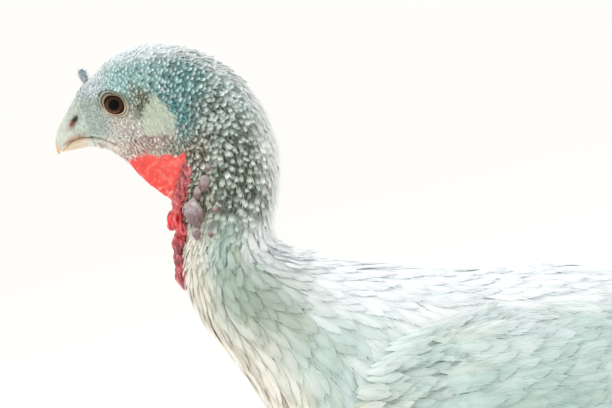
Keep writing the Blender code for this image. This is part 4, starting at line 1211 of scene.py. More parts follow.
def make_neck_coat():
    pile = Pile()
    rng = np.random.default_rng(6)
    petals = [
        joined([petal(((0, 0.3), (0.35, 0.75), (0.7, rng.uniform(0.4, 0.9))), 0.2, rng.uniform(0.8, 1)), *(
            barb((0.4, q * 0.4, 0.1), (0.75, q * 0.85, 0.2), (rng.uniform(0.85, 1.2), q * 1.1, 0.1), 0.16)
            for q in np.linspace(-0.95, 0.95, 5) + rng.uniform(-0.12, 0.12, 5)
        )])
        for _ in range(8)
    ]

    def length_at(points):
        near_throat = 0.55 + 0.45 * smooth((points[..., 0] + 248) / 26)
        return np.interp(up_neck(points), [-34, -12, 20, 60, 90], [11.5, 9.2, 7.3, 6.0, 4.8]) * near_throat

    def spacing(t, a):
        return 0.40 * length_at(body_place(t, a))

    t, a = scattered(BODY, (8.4, 0), (17.5, 2 * math.pi), spacing, 24, thinned(
        lambda points: away_from_features(points) * (1 - soft_coated(points + np.array([0, 0, 14])))))
    points = body_place(t, a)
    low = paler_down(points)[:, None]
    root, tip = neck_tints(points, t, a, low, 0.7)
    shade = speckled(11, points) * (1 - low) + low
    over_plumes = soft_coated(points)
    plant(
        pile, BODY, (t, a), back_and_down(0.25), length_at(points), 0.22 * length_at(points), petals,
        (-0.3 + 1.6 * over_plumes, 0.25 * length_at(points) + 1.6 * over_plumes), (root, tip * shade),
        body_maps(t, a), 34, 0.3, 0.22, 0.25, (0.3, 0.8), 0.4,
    )
    pile.piece("neck_petals", finish("neck feathers", 0.72, mottle=0.08, sheen=0.1, specular=0.2), "plumage")

    pile = Pile()
    t, a = scattered(BODY, (6.5, 0), (16.8, 2 * math.pi), lambda t, a: 1.3 + 0 * t, 25, thinned(
        lambda points: (
            away_from_features(points) * smooth((points[:, 0] + 262) / 26) * (1 - soft_coated(points))
        )))
    points = body_place(t, a)
    root, tip = neck_tints(points, t, a, paler_down(points)[:, None], 0.0)
    under = [tuft(rng, 2, 0.5, 0.7) for _ in range(3)]
    plant(
        pile, BODY, (t, a), back_and_down(0.25), 4.4, 0.45, under, (-0.2, 1.3),
        (root, tip * 0.75 + root * 0.25), body_maps(t, a), 36, 0.15, 0.5, 0.4, (0.2, 0.9),
    )
    pile.piece("neck_down", finish("neck down", 0.72, mottle=0.08, sheen=0.1, specular=0.2), "plumage")

    pile = Pile()
    chance = np.random.default_rng(27)

    def along_top(t, a, points):
        return chance.random(len(t)) < 1 - smooth((np.abs(a) - 0.12) / 0.55)

    t, a = scattered(BODY, (0.8, -0.7), (16.5, 0.7), lambda t, a: 0.82 + 0.02 * t, 26, along_top)
    wisps = [tuft(rng, 3, 0.11, 1.0) for _ in range(4)]
    lengths = np.interp(t, [1, 4, 8, 10, 16], [2.8, 4.6, 6.5, 8.0, 12.0])
    lengths = lengths * np.interp(np.abs(a), [0.2, 0.7], [1, 0.5])
    plant(
        pile, BODY, (t, a), back_and_down(0.1), lengths, 0.85, wisps, (0.2, 0.5 * lengths),
        (srgb(246, 250, 252), srgb(253, 254, 255)), body_maps(t, a), 35, 0.12, 0.3, 0.5, (0.0, 0.4),
    )
    pile.piece("nape_wisps", finish("wisps", 0.7, sheen=0.3, specular=0.2), "plumage")


# Body coat

def under_wing(points):
    """1 where the folded wing hides the body's side."""
    dx, dz = points[:, 0] - WING_ORIGIN[0], points[:, 2] - WING_ORIGIN[1]
    c, s = math.cos(WING_SLOPE), math.sin(WING_SLOPE)
    l, m = c * dx - s * dz, s * dx + c * dz
    inside = smooth((l - 26) / 8) * smooth((220 - l) / 10) * smooth((m + 40) / 8) * smooth((26 - m) / 8)
    return inside * (np.abs(points[:, 1]) > 50)


COAT_ZONES = (
    ("neck_plumes", 11.2, 18.6), ("breast_plumes", 18.6, 21.2), ("front_plumes", 21.2, 23.2),
    ("middle_plumes", 23.2, 25.4), ("rear_plumes", 25.4, 28.4), ("rump_plumes", 28.4, 32.2),
)


def make_body_coat(coat):
    rng = np.random.default_rng(7)
    plumes = [plume(rng, 15, 0.045, 0.22) for _ in range(6)]
    shared = feather_finish("body feathers", 12.0)

    def length_at(t):
        shares = [0.24, 0.34, 0.55, 0.74, 0.9, 1, 0.9]
        return coat.feather_length / MM * np.interp(t, [12, 13, 15, 17, 19, 22, 32], shares)

    def spacing(t, a):
        shares = [0.36, 0.46, 0.62, 0.8, 0.95, 1.0]
        return coat.feather_spacing / MM * np.interp(t, [12, 13, 15, 17, 19, 32], shares)

    def lift(t):
        return np.interp(t, [12, 13, 15, 18, 22, 32], [3.0, 2.3, 1.4, 0.4, -0.4, -0.4])

    for k, (name, low, high) in enumerate(COAT_ZONES):
        pile = Pile()
        keep = thinned(lambda points: (1 - under_wing(points)) * soft_coated(points))
        t, a = scattered(BODY, (low, 0), (high, 2 * math.pi), spacing, 40 + k, keep)
        points, _, _, out = BODY.frame(t, a)
        root, tip = coat_tints(points, out)
        shade = np.random.default_rng(60 + k).uniform(0.94, 1.03, len(t))[:, None]
        depth = -np.interp(t, COAT_DEPTH_T, COAT_DEPTH) * 0.8
        plant(
            pile, BODY, (t, a), back_and_down(0.12), length_at(t), 0.17 * length_at(t), plumes,
            (depth, lift(t)), (root, tip * shade), body_maps(t, a), 50 + k, 0.3, 0.10, 0.05, (0.3, 0.95),
            curl=0.012,
        )
        pile.piece(name, shared, "plumage")


def make_thigh_coat():
    rng = np.random.default_rng(12)
    plumes = [plume(rng, 9, 0.05, 0.16) for _ in range(4)]
    shared = feather_finish("thigh feathers", 12.0)
    for side, word in SIDES:
        pile = Pile()
        thigh = thigh_surface(side)
        f, a = scattered(
            thigh, (0.3, 0), (4.9, 2 * math.pi), lambda f, a: np.interp(f, [0, 3, 5], [7.5, 5.5, 3.2]), 71
        )
        points, _, _, out = thigh.frame(f, a)
        root, tip = coat_tints(points, out)
        lengths = np.interp(f, [0, 3, 4.4, 5], [40, 26, 15, 9])
        maps = np.stack([f / 5, np.mod(a, 2 * math.pi) / (2 * math.pi)], 1)
        plant(
            pile, thigh, (f, a), back_and_down(0.3), lengths, 0.22 * lengths, plumes,
            (-np.interp(f, [0, 4, 5], [5, 3, 0.5]), 0.6), (root, tip), maps, 72, 0.6, 0.18, 0.2, (0.2, 0.9),
        )
        pile.piece("thigh_feathers_" + word, shared, "plumage")


# Wings and tail

VaneRow = namedtuple("VaneRow", "name count first last half_width lift tilt step")
WING_ROWS = [
    VaneRow("primary", 8, ((104, -48), (262, -62)), ((104, -36), (326, -42)), 10, (-10.3, -10.4), 0.0, 0.72),
    VaneRow("secondary", 12, ((94, -50), (226, -74)), ((94, 34), (284, 8)), 11, (-4.5, -2.6), -0.115, 0.0),
    VaneRow("tertial", 4, ((82, 36), (214, 18)), ((78, 52), (250, 38)), 15, (-3, 1.4), -0.20, 0.0),
    VaneRow("greater_covert", 11, ((64, -52), (136, -66)), ((64, 14), (150, 0)), 9, (-3, 1.3), -0.115, 0.0),
]
VANE_RISE = 34.0
# Thickness of a vane at its shaft and at its edges
VANE_THICKNESS, TAIL_THICKNESS = (0.5, 0.25), (0.85, 1.3)
# Height of the soft coverts over the wing's sheet, along it
COVERT_L, COVERT_H = [30.0, 60.0, 100.0, 150.0, 190.0], [3.6, 4.8, 4.6, 4.4, 2.5]
# How much of the back's white the wing takes: the wing's normals are shortened by it before the coat's
# painted light and shade are picked, so the wing takes more painted shade
WING_SHADE = 0.86


def vane_width(f):
    swell = 0.42 + 0.58 * np.sin(np.minimum(f / 0.45, 1) * math.pi / 2)
    return swell * np.sqrt(np.maximum(1 - np.maximum(0, (f - 0.72) / 0.285) ** 2.2, 0.0))


def add_vane(pile, place, root, tip, half_width, lift, tilt, tints, spot, seed,
             thickness=VANE_THICKNESS):
    """One flight feather: a closed cambered vane with a raised shaft and split edges."""
    rng = np.random.default_rng(seed)
    rows, columns = 36, 7
    root, tip = np.array(root, float), np.array(tip, float)
    along = tip - root
    length = np.linalg.norm(along)
    across = np.array([-along[1], along[0]]) / length
    f = np.linspace(0, 1, rows)[:, None]
    s = np.linspace(-1, 1, columns)[None]
    risen = VANE_RISE / length
    nicks = 1 - 0.12 * (rng.random((rows, 1)) < 0.07) * np.abs(s) ** 2
    nicks = nicks * (1 + 0.010 * rng.normal(size=(rows, 1)))
    spread = vane_width(f) * half_width * s * nicks
    reach = f + 0.03 * (1 - s * s) * (f > 0.9)
    l = root[0] + along[0] * reach + across[0] * spread
    m = root[1] + along[1] * reach + across[1] * spread
    height = lift[1] + (lift[0] - lift[1]) * np.maximum(0, 1 - f / risen)
    height = height + tilt * spread + 0.07 * half_width * (1 - s * s)
    shaft = 0.55 * np.exp(-((s * half_width / 1.1) ** 2)) * (1 - 0.8 * f)
    ripple = 0.10 * np.sin(3.0 * rng.random() + 14 * f + 3 * s)
    top = place(l, m, height + shaft + ripple)
    bottom = place(l, m, height + ripple - thickness[0] - (thickness[1] - thickness[0]) * s * s)
    faces = grid_faces(rows, columns)
    count = rows * columns
    edge = [i * columns for i in range(rows)] + [(rows - 1) * columns + j for j in range(1, columns)]
    edge += [i * columns + columns - 1 for i in range(rows - 2, -1, -1)] + list(range(columns - 2, 0, -1))
    here, following = np.array(edge), np.roll(edge, -1)
    rim = [
        np.stack([here, following, following + count], 1),
        np.stack([here, following + count, here + count], 1),
    ]
    every = np.concatenate([faces, faces[:, ::-1] + count, *rim])
    points = np.concatenate([top.reshape(-1, 3), bottom.reshape(-1, 3)])
    shade = smooth((f - 0.05) / 0.6)[..., None] + 0 * s[..., None]
    tint = blend(tints[0], tints[1], shade)
    tint = tint * (1 - 0.12 * np.exp(-((s * half_width / 0.9) ** 2))[..., None])
    tint = tint * (1 - 0.10 * rng.random((rows, columns, 1)) * np.abs(s)[..., None])
    tint = np.concatenate([tint.reshape(-1, 3)] * 2)
    slant = np.stack([(f * length - 0.9 * np.abs(spread)) + 0 * s, spread * 0.1, 0 * spread], -1)
    slant = np.concatenate([slant.reshape(-1, 3)] * 2)
    maps = spot + 0.003 * np.stack([f - 0.5 + 0 * s, s / 2 + 0 * f], -1).reshape(-1, 2)
    pile.add(points, every, tint, np.concatenate([maps, maps]), slant)


def make_wings():
    rng = np.random.default_rng(13)
    plumes = [plume(rng, 15, 0.045, 0.22) for _ in range(6)]
    vanes = vane_finish("flight feathers")
    soft = finish("wing coverts", 0.75, mottle=0.03, mottle_size=12.0, sheen=0.2, specular=0.2)
    for side, word in SIDES:
        pile = Pile()
        arm = wing_surface(side)
        add_arm(pile, side)
        for r, row in enumerate(WING_ROWS):
            first, last = np.array(row.first, float), np.array(row.last, float)
            for i in range(row.count):
                root, tip = first + (last - first) * i / (row.count - 1)
                tip = tip + rng.uniform(-2.5, 2.5, 2)
                lift = [h + row.step * i for h in row.lift]
                white = np.array(srgb(212, 226, 224)) * rng.uniform(0.9, 1.0)
                shadow = np.array(srgb(*SHADE_MINT_TIP))
                add_vane(
                    pile, lambda l, m, h: wing_place(side, l, m, h), root, tip, row.half_width,
                    lift, row.tilt, (shadow, white), wing_maps(*root), 100 * r + i,
                )
        pile.piece("wing_" + word + "_vanes", vanes, "plumage", ("wing_" + word,), crisp=True)
        pile = Pile()

        def on_arm(l, m, points):
            reach = np.hypot((l - ARM_CENTRE[0]) / ARM_RADII[0], (m - ARM_CENTRE[1]) / ARM_RADII[1])
            return (reach < 1.06) & (l < 66)

        def over_coverts(l, m, points):
            return (m < 66 - 0.08 * (l - 34)) & (l < 92 + 0.5 * (m + 46))

        shoulder = Surface(
            lambda l, m: wing_place(side, l, m, np.interp(l, COVERT_L, COVERT_H)), 0.5, 0.5, 400.0, -side
        )
        for ground, patch, gap, seed, keep, length, half_width, heights, thickness, roll, curl in (
            (arm, ((-24, -74), (70, 72)), 4.6, 81, on_arm, 32.0, 5.6, (-1.0, 7.0), 0.4, 0.08, 0.02),
            (shoulder, ((34, -46), (150, 70)), 6.6, 83, over_coverts, 44.0, 8.0, (-1.5, 1.5), 0.35, 0.05,
             0.012),
        ):
            l, m = scattered(ground, *patch, lambda l, m: gap + 0 * l, seed, keep)
            points, _, _, out = ground.frame(l, m)
            root, tip = coat_tints(points, out * WING_SHADE)
            shade = rng.uniform(0.94, 1.03, len(l))[:, None]
            plant(
                pile, ground, (l, m), lambda p, along, out: along, length, half_width, plumes, heights,
                (root, tip * shade), wing_maps(l, m), seed + 1, thickness, 0.12, roll, (0.2, 0.9), curl=curl,
            )
        pile.piece("wing_" + word + "_coverts", soft, "plumage")


def wing_maps(l, m):
    return np.stack([(l + 40) / 400, (m + 90) / 180], -1)


def add_arm(pile, side):
    """The wing's arm under its feathers, a closed lens on the body's side."""
    rings, columns = np.linspace(0.02, 1.0, 12), 60
    turn = turns(columns)[None]
    l = ARM_CENTRE[0] + ARM_RADII[0] * rings[:, None] * np.cos(turn)
    m = ARM_CENTRE[1] + ARM_RADII[1] * rings[:, None] * np.sin(turn)
    h = np.interp(l, ARM_L, ARM_H) - 6.0 - 20.0 * np.maximum(0, rings[:, None] - 0.7) ** 1.3
    outer = wing_place(side, l, m, h)
    inner = wing_place(side, l, m, h * 0 - 30.0)
    add_tube(pile, np.concatenate([outer, inner[::-1]]), srgb(*SHADE_MINT_ROOT), (0.3, 0.3), (0.31, 0.31))


TailTier = namedtuple("TailTier", "name pairs start length pitch fan half_width lift drop roof")
TAIL_TIERS = [
    TailTier("rectrix", 9, 30, 240, 2.4, 0.95, 17, (2, 3), 0.85, 0.001),
    TailTier("upper_covert", 5, 16, 132, 5.5, 1.6, 12, (10, 12.6), 0.7, 0.005),
    TailTier("rump_covert", 4, 8, 88, 5.5, 2.0, 11, (15, 18.0), 0.7, 0.005),
    TailTier("under_covert", 5, 16, 112, 5.0, 1.4, 12, (-23.5, -25.5), -0.85, 0.0),
]
TAIL_TAPER = 0.008


def make_tail():
    pile = Pile()
    rng = np.random.default_rng(14)
    f = np.linspace(0, 1, 24)[:, None]
    b = turns(48)[None]
    half_width, up, down = (40 - 16 * f), (20 - 16 * f), (-24 + 6 * f)
    core = tail_place(
        -26 + 100 * f + 0 * b, half_width * np.sin(b), (up + down) / 2 + (up - down) / 2 * np.cos(b)
    )
    add_tube(pile, core, srgb(*SHADE_MINT_ROOT), (0.1, 0.1), (0.11, 0.11))
    for r, tier in enumerate(TAIL_TIERS):
        for k in range(tier.pairs):
            for side in (LEFT, RIGHT):
                sunk = tier.drop * (2 * k + (side == RIGHT))
                angle = math.radians(tier.fan * (k + 0.5)) * side
                root_m = side * tier.pitch * (k + 0.5)
                reach = tier.length * (1 - TAIL_TAPER * k) * rng.uniform(0.985, 1.005)
                tip_m = root_m + reach * math.sin(angle)
                lift = (tier.lift[0] - sunk, tier.lift[1] - sunk - tier.roof * tip_m**2)
                root, tip = (tier.start, root_m), (tier.start + reach * math.cos(angle), tip_m)
                white = np.array(srgb(*WHITE_TIP)) * rng.uniform(0.93, 1.0)
                spot = np.array([0.2 + tier.start / 100, 0.5 + root_m / 100])
                seed = 900 + 40 * r + 2 * k + (side == RIGHT)
                # Each vane turns from a mint root to a white tip: painted shade where other feathers lie
                # over it, as on the wing's flight feathers
                add_vane(
                    pile, tail_place, root, tip, tier.half_width, lift, -2 * tier.roof * root_m,
                    (srgb(214, 228, 226), white), spot, seed, TAIL_THICKNESS,
                )
    pile.piece("tail_vanes", vane_finish("tail feathers"), "plumage", ("tail",), crisp=True)


# Bill, eyes, snood and wattle

def bill_grid(cuts, rows, columns, upper):
    """Rings of one half of the bill, arched on one side and flat towards the mouth."""
    table = np.array([(*cut.top, *cut.bottom, cut.half_width) for cut in cuts], float)
    last = len(cuts) - 1
    closing = last + np.array([0.10, 0.18, 0.24, 0.28, 0.30])
    t = np.concatenate([[-0.35], np.linspace(0, last, rows - 6), closing])
    t = np.minimum(t, last + 0.3)
    close = np.where(t > last, np.sqrt(np.maximum(1 - ((t - last) / 0.31) ** 2, 0.01)), 1.0)
    rows_at = along_rows(table, np.clip(t, -0.35, last + 0.3))
    top, bottom, half_width = rows_at[:, None, 0:2], rows_at[:, None, 2:4], rows_at[:, None, 4]
    a = turns(columns)[None]
    arch = np.maximum(np.sin(a), 0) ** (0.8 if upper else 0.9)
    dish = 0.10 * np.minimum(np.sin(a), 0) ** 2 * (1 if upper else -1)
    rise = (arch + dish)[..., None]
    middle = bottom + (top - bottom) * rise if upper else top + (bottom - top) * rise
    centre = (top + bottom) / 2
    middle = centre + (middle - centre) * close[:, None, None]
    y = half_width * np.cos(a) * close[:, None]
    return np.stack([middle[..., 0], y, middle[..., 1]], -1), t, a


def make_bill(head):
    pile = Pile()
    rows, columns = 96, 96
    grid, t, a = bill_grid(UPPER_BILL, rows, columns, True)
    x, y, z = np.moveaxis(grid, -1, 0)
    c, s = math.cos(NOSTRIL_LEAN), math.sin(NOSTRIL_LEAN)
    dx, dz = x - NOSTRIL[0], z - NOSTRIL[1]
    u, w = (dx * c - dz * s) / NOSTRIL_RADII[0], (dx * s + dz * c) / NOSTRIL_RADII[1]
    reach = np.hypot(u, w)
    sine = np.sin(a)
    above = sine > 0.02
    slit = smooth((1.15 - reach) / 0.5) * above
    rim = np.exp(-(((reach - 1.6) / 0.45) ** 2)) * above
    cere = smooth((2.0 - t) / 1.2)[:, None]
    grown = 0.16 * np.sin(t * 9)[:, None] * smooth((t - 1.5) / 2)[:, None]
    rough = noise_at(grid.reshape(-1, 3), 2.4, 6.0).reshape(x.shape)
    swell = 0.35 * rim + (0.30 * cere + 0.10) * rough + 0.3 * grown
    edge = np.exp(-((sine / 0.10) ** 2))
    swell = swell + 0.35 * edge * smooth(t)[:, None]
    grid = grid + unit(grid - grid.mean(1, keepdims=True)) * swell[..., None]
    grid[..., 1] -= np.sign(y) * 1.5 * slit
    horn, tip, cutting = (np.array(c) for c in (head.bill_colour, srgb(224, 176, 112), srgb(172, 112, 68)))
    along = smooth((t - 4.2) / 1.9)[:, None, None]
    tint = blend(horn, tip, along)
    lip = (edge * smooth((2.2 - np.abs(t - 2.4)) / 1.2)[:, None])[..., None] * 0.85
    tint = blend(tint, cutting, lip)
    cere = smooth((2.6 - t) / 1.4)[:, None]
    pale = (cere * (1 - edge))[..., None] * 0.8
    grain = noise_at(grid.reshape(-1, 3), 0.8, 2.0).reshape(x.shape)
    freckle = (smooth((grain + 0.7 * rough - 0.02) / 0.4) * cere * 0.5)[..., None]
    tint = blend(tint, srgb(196, 208, 198), pale)
    tint = blend(tint, srgb(96, 112, 110), freckle)
    ridge = smooth((sine - 0.93) / 0.06)[..., None] * smooth((t - 1.0) / 1.5)[:, None, None] * 0.35
    tint = blend(tint, srgb(250, 232, 190), ridge)
    # The nostril is only a shallow dent: its upper end is painted near-black, painted shade for the depth of
    # the opening, and its lower end takes the reddish brown of its flesh
    low_slit = smooth((0.1 - w) / 0.6)[..., None]
    inside = blend(srgb(34, 20, 17), srgb(150, 70, 42), low_slit)
    # Painted shade along the groove behind the nostril
    groove = (0.45 * np.exp(-((to_polyline(x, z, BILL_GROOVE) / 0.5) ** 2)) * above)[..., None]
    tint = blend(tint, srgb(140, 118, 92), groove)
    tint = blend(tint, inside, slit[..., None])
    halo = (np.exp(-(((reach - 1.35) / 0.35) ** 2)) * above)[..., None] * 0.4
    tint = blend(tint, srgb(150, 128, 108), halo)
    tint = tint * (1 + 0.10 * rough[..., None])
    add_tube(pile, grid, tint)
    grid, t, a = bill_grid(LOWER_BILL, 70, 64, False)
    rough = noise_at(grid.reshape(-1, 3), 2.0, 8.0).reshape(grid.shape[:2])
    grid = grid + unit(grid - grid.mean(1, keepdims=True)) * (0.22 * rough)[..., None]
    along = smooth((t - 3.0) / 2.0)[:, None, None]
    low = smooth((-np.sin(a) - 0.2) / 0.6)[..., None]
    side_tint = blend(srgb(216, 200, 176), srgb(244, 214, 198), low)
    tint = blend(side_tint, srgb(228, 192, 134), along)
    behind = smooth((1.7 - t) / 1.7)[:, None, None]
    tint = blend(tint, srgb(208, 214, 203), behind)
    upper_edge = np.exp(-((np.sin(a) / 0.2) ** 2))[..., None] * 0.5
    tint = blend(tint, srgb(168, 112, 72), upper_edge)
    tint = tint * (1 + 0.10 * rough[..., None])
    add_tube(pile, grid, tint)
    keratin = finish("bill horn", 0.38, (("noise", 0.8, 0.05), ("noise", 3.0, 0.10)), 0.10, 3.0, 0.25, 0.15)
    pile.piece("bill", keratin, "bill", ("bill_upper", "bill_lower"))


def make_eyes(head):
    pile = Pile()
    rows, columns = 72, 128
    down = np.linspace(0.01, math.pi * 0.72, rows)[:, None]
    turn = turns(columns)[None]
    reach = EYE_RADIUS * np.sin(down) + 0 * turn
    for side, _ in SIDES:
        bulge = 0.35 * smooth((IRIS_RADIUS + 0.8 - reach) / 6.0) * (down < 1.2)
        x = EYE[0] + reach * np.cos(turn)
        z = EYE[2] + reach * np.sin(turn)
        y = side * (EYE[1] + EYE_RADIUS * np.cos(down) + 0 * turn + bulge)
        grid = np.stack([x, y, z], -1)
        wheel = np.stack([6 * np.cos(turn) + 0 * reach, 6 * np.sin(turn) + 0 * reach, 0.25 * reach], -1)
        spokes = noise_at(wheel.reshape(-1, 3), 0.8)
        spokes = spokes.reshape(reach.shape)[..., None]
        f = reach[..., None] / IRIS_RADIUS
        # Painted reflection: a pale crescent on the lower front of the iris
        low = smooth((-np.sin(turn + 0.9) + 0.2) / 1.1)[..., None] * smooth((f - 0.62) / 0.2)
        iris = np.array(head.iris_colour) * (1 + 0.55 * spokes) * (0.60 + 1.4 * low)
        rim = smooth((f - 0.86) / 0.12)
        iris = blend(iris, srgb(38, 24, 18), rim)
        white = smooth((f - 1.0) / 0.06)
        tint = blend(iris, srgb(70, 54, 44), white)
        pupil = smooth((0.60 - f) / 0.10) * (down < 1.2)[..., None]
        tint = blend(tint, srgb(3, 2, 3), pupil)
        add_tube(pile, grid, tint)
    wet = finish("eye", 0.3, (), 0.02, 3.0, 0.0, 0.10, specular=0.03)
    pile.piece("eyes", wet, "eye", ("eye_left", "eye_right"))


HAIR_CORNERS = 0.16 * np.array([(1, 0, 0), (-0.5, 0.87, 0), (-0.5, -0.87, 0.2)])


def make_snood(head):
    pile = Pile()
    path = np.array(SNOOD, float)
    t = np.concatenate([np.linspace(-0.8, 3.4, 50), 3.4 + 0.9 * np.sin(np.linspace(0.1, math.pi / 2, 12))])
    rows = along_rows(path, np.clip(t, -0.8, 4.0))
    shrink = np.sqrt(np.maximum(1 - (np.maximum(t - 3.4, 0) / 0.92) ** 2, 0.004))
    b = turns(48)[None]
    radius = rows[:, 2:3] * shrink[:, None]
    ahead = unit(np.gradient(rows[:, :2], axis=0))
    grid = np.stack([
        rows[:, 0:1] + ahead[:, 1:2] * radius * np.cos(b), radius * np.sin(b),
        rows[:, 1:2] - ahead[:, 0:1] * radius * np.cos(b),
    ], -1)
    flat = grid.reshape(-1, 3)
    folds = noise_at(flat * np.array([0.7, 0.7, 2.4]), 1.8, 2.0) + 0.5 * noise_at(flat, 0.8, 3.0)
    out = unit(grid - np.stack([rows[:, 0:1], 0 * rows[:, 0:1], rows[:, 1:2]], -1))
    grid = grid + out * (0.32 * folds.reshape(grid.shape[:2]))[..., None]
    high = smooth((grid[..., 2] - 624) / 12)[..., None]
    tint = blend(srgb(190, 200, 202), srgb(126, 146, 160), high)
    # Painted light and shade on the folds: lighter on their crests, darker in their creases
    tint = tint * (1 + 1.0 * folds.reshape(grid.shape[:2])[..., None])
    add_tube(pile, grid, tint)
    flesh = finish("snood skin", 0.42, (("cells", 0.5, 0.10),), 0.12, 1.4, head.flesh, 0.25)
    pile.piece("snood_skin", flesh, "snood", ("snood",))
    bristles = Pile()
    rng = np.random.default_rng(15)
    picked = rng.choice(np.flatnonzero(flat[:, 2] > 627), 190, replace=False)
    for k in picked:
        start = grid.reshape(-1, 3)[k]
        away = unit(out.reshape(-1, 3)[k] + np.array([0.35, 0, 0.35]) + rng.normal(0, 0.2, 3))
        middle, end = start + away * 0.9, start + away * rng.uniform(1.4, 2.6)
        hair = strand([[p + 1.3 * d for d in HAIR_CORNERS] for p in (start, middle)], end)
        spot = body_maps(np.array([1.0]), np.array([0.1]))
        bristles.add(hair.points, hair.faces, srgb(226, 234, 238), spot.repeat(len(hair.points), 0))
    bristles.piece("snood_bristles", feather_finish("snood bristles", 2.0), "plumage")


def body_half_width(x, z):
    """How far the body stands out to the side at a place of head or upper neck."""
    t, a = np.meshgrid(np.linspace(3, 14, 160), np.linspace(0.15, math.pi - 0.15, 80))
    points = body_place(t.ravel(), a.ravel())
    return float(points[np.argmin(np.hypot(points[:, 0] - x, points[:, 2] - z)), 1])


def make_wattle(head):
    """The lobes of the wattle, melted together by a fine remesh and then wrinkled."""
    pile = Pile()
    for x, y, z, rx, ry, rz, lean in WATTLE_LOBES:
        add_bulb(pile, np.array([x, y, z]), (rx, ry, rz), lean, 0.05, bulb_tints, 48, 36)
    high, low = np.array(SIDE_FOLD, float)
    for f in np.linspace(0, 1, 8):
        x, z = high + (low - high) * f
        y = body_half_width(x, z) - 0.6
        size = 0.62 + 0.5 * math.sin(math.pi * min(f + 0.15, 1))
        for side, _ in SIDES:
            place = np.array([x, side * y * (1 - 0.35 * f**3), z])
            add_bulb(pile, place, np.array(FOLD_RADII) * size, FOLD_LEAN, 0.05, bulb_tints, 40, 30)
    points = np.concatenate(pile.points)
    faces = np.concatenate(pile.faces)
    mesh = bpy.data.meshes.new("lobes")
    mesh.from_pydata((points * MM).tolist(), [], faces.tolist())
    lobes = add_object("lobes", mesh)
    remesh = lobes.modifiers.new("remesh", "REMESH")
    remesh.mode = "VOXEL"
    remesh.voxel_size = 0.42 * MM
    soften = lobes.modifiers.new("soften", "SMOOTH")
    soften.factor = 0.5
    soften.iterations = 8
    triangles = lobes.modifiers.new("triangles", "TRIANGULATE")
    triangles.quad_method = "FIXED"
    melted = lobes.evaluated_get(bpy.context.evaluated_depsgraph_get()).to_mesh()
    points = np.array([v.co for v in melted.vertices]) / MM
    normals = np.array([v.normal for v in melted.vertices])
    faces = np.array([tuple(p.vertices) for p in melted.polygons])
    lobes.to_mesh_clear()
    bpy.data.objects.remove(lobes)
    long = noise_at(points * np.array([1.0, 1.0, 0.28]), 1.5, 3.0)
    deep = noise_at(points * np.array([1.0, 1.0, 0.4]), 3.4, 5.0)
    fine = noise_at(points, 0.8, 7.0)
    points = points + normals * (0.75 * long + 0.7 * deep + 0.15 * fine)[:, None]
    z = points[:, 2]
    stops = [490, 503, 514, 524, 532, 541, 556]
    lobes_down = [
        (142, 52, 70), (168, 48, 62), (142, 56, 72), (196, 44, 48),
        (232, 52, 50), (182, 60, 68), (158, 66, 70),
    ]
    table = np.array([srgb(*colour) for colour in lobes_down])
    base = np.stack([np.interp(z, stops, table[:, k]) for k in range(3)], 1)
    # Painted shade and highlight on the wrinkles: darker in their grooves, pale pink on their crests
    grooves = smooth((-long - 0.05) / 0.5)[:, None]
    tint = base * (1.2 - 0.75 * grooves)
    pale = smooth((long + 0.5 * fine - 0.02) / 0.4)[:, None] * 0.7
    tint = blend(tint, srgb(232, 142, 146), pale)
    spots = body_maps(np.full(len(points), 11.0), np.pi + 0 * z)
    spots = spots + 0.02 * np.stack([(z - 520) / 60, points[:, 1] / 12], 1)
    pile = Pile()
    pile.add(points, faces, tint, spots)
    bumps = (("cells", 0.8, 0.10), ("noise", 1.5, 0.12))
    wet = finish("wattle skin", 0.34, bumps, 0.12, 2.0, head.flesh, 0.35)
    pile.piece("wattle_skin", wet, "wattle", ("wattle",))


# Legs

def make_legs(legs):
    horn = finish("leg scales", 0.5, (("noise", 0.8, 0.08),), 0.12, 3.0, 0.1, 0.05)
    claw_horn = finish("claw horn", 0.35, (("noise", 1.2, 0.06),), 0.15, 2.0, 0.1, 0.2)
    for side, word in SIDES:
        pile = Pile()
        add_shank(pile, side, legs)
        add_foot(pile, side, legs)
        pile.piece("leg_" + word, horn, "scaly_leg", ("shank_" + word, "foot_" + word))
        pile = Pile()
        for toe in TOES:
            add_claw(pile, side, toe, legs)
        names = [f"claw_{word}_{toe.name}" for toe in TOES]
        pile.piece("claws_" + word, claw_horn, "claw", names)


def scute_tint(legs, groove, high):
    plate, seam, pale = (np.array(c) for c in (legs.scale_colour, legs.seam_colour, srgb(238, 222, 206)))
    colour = plate * (1 - 0.35 * high) + pale * 0.35 * high
    return colour * (1 - 0.7 * groove) + seam * 0.7 * groove


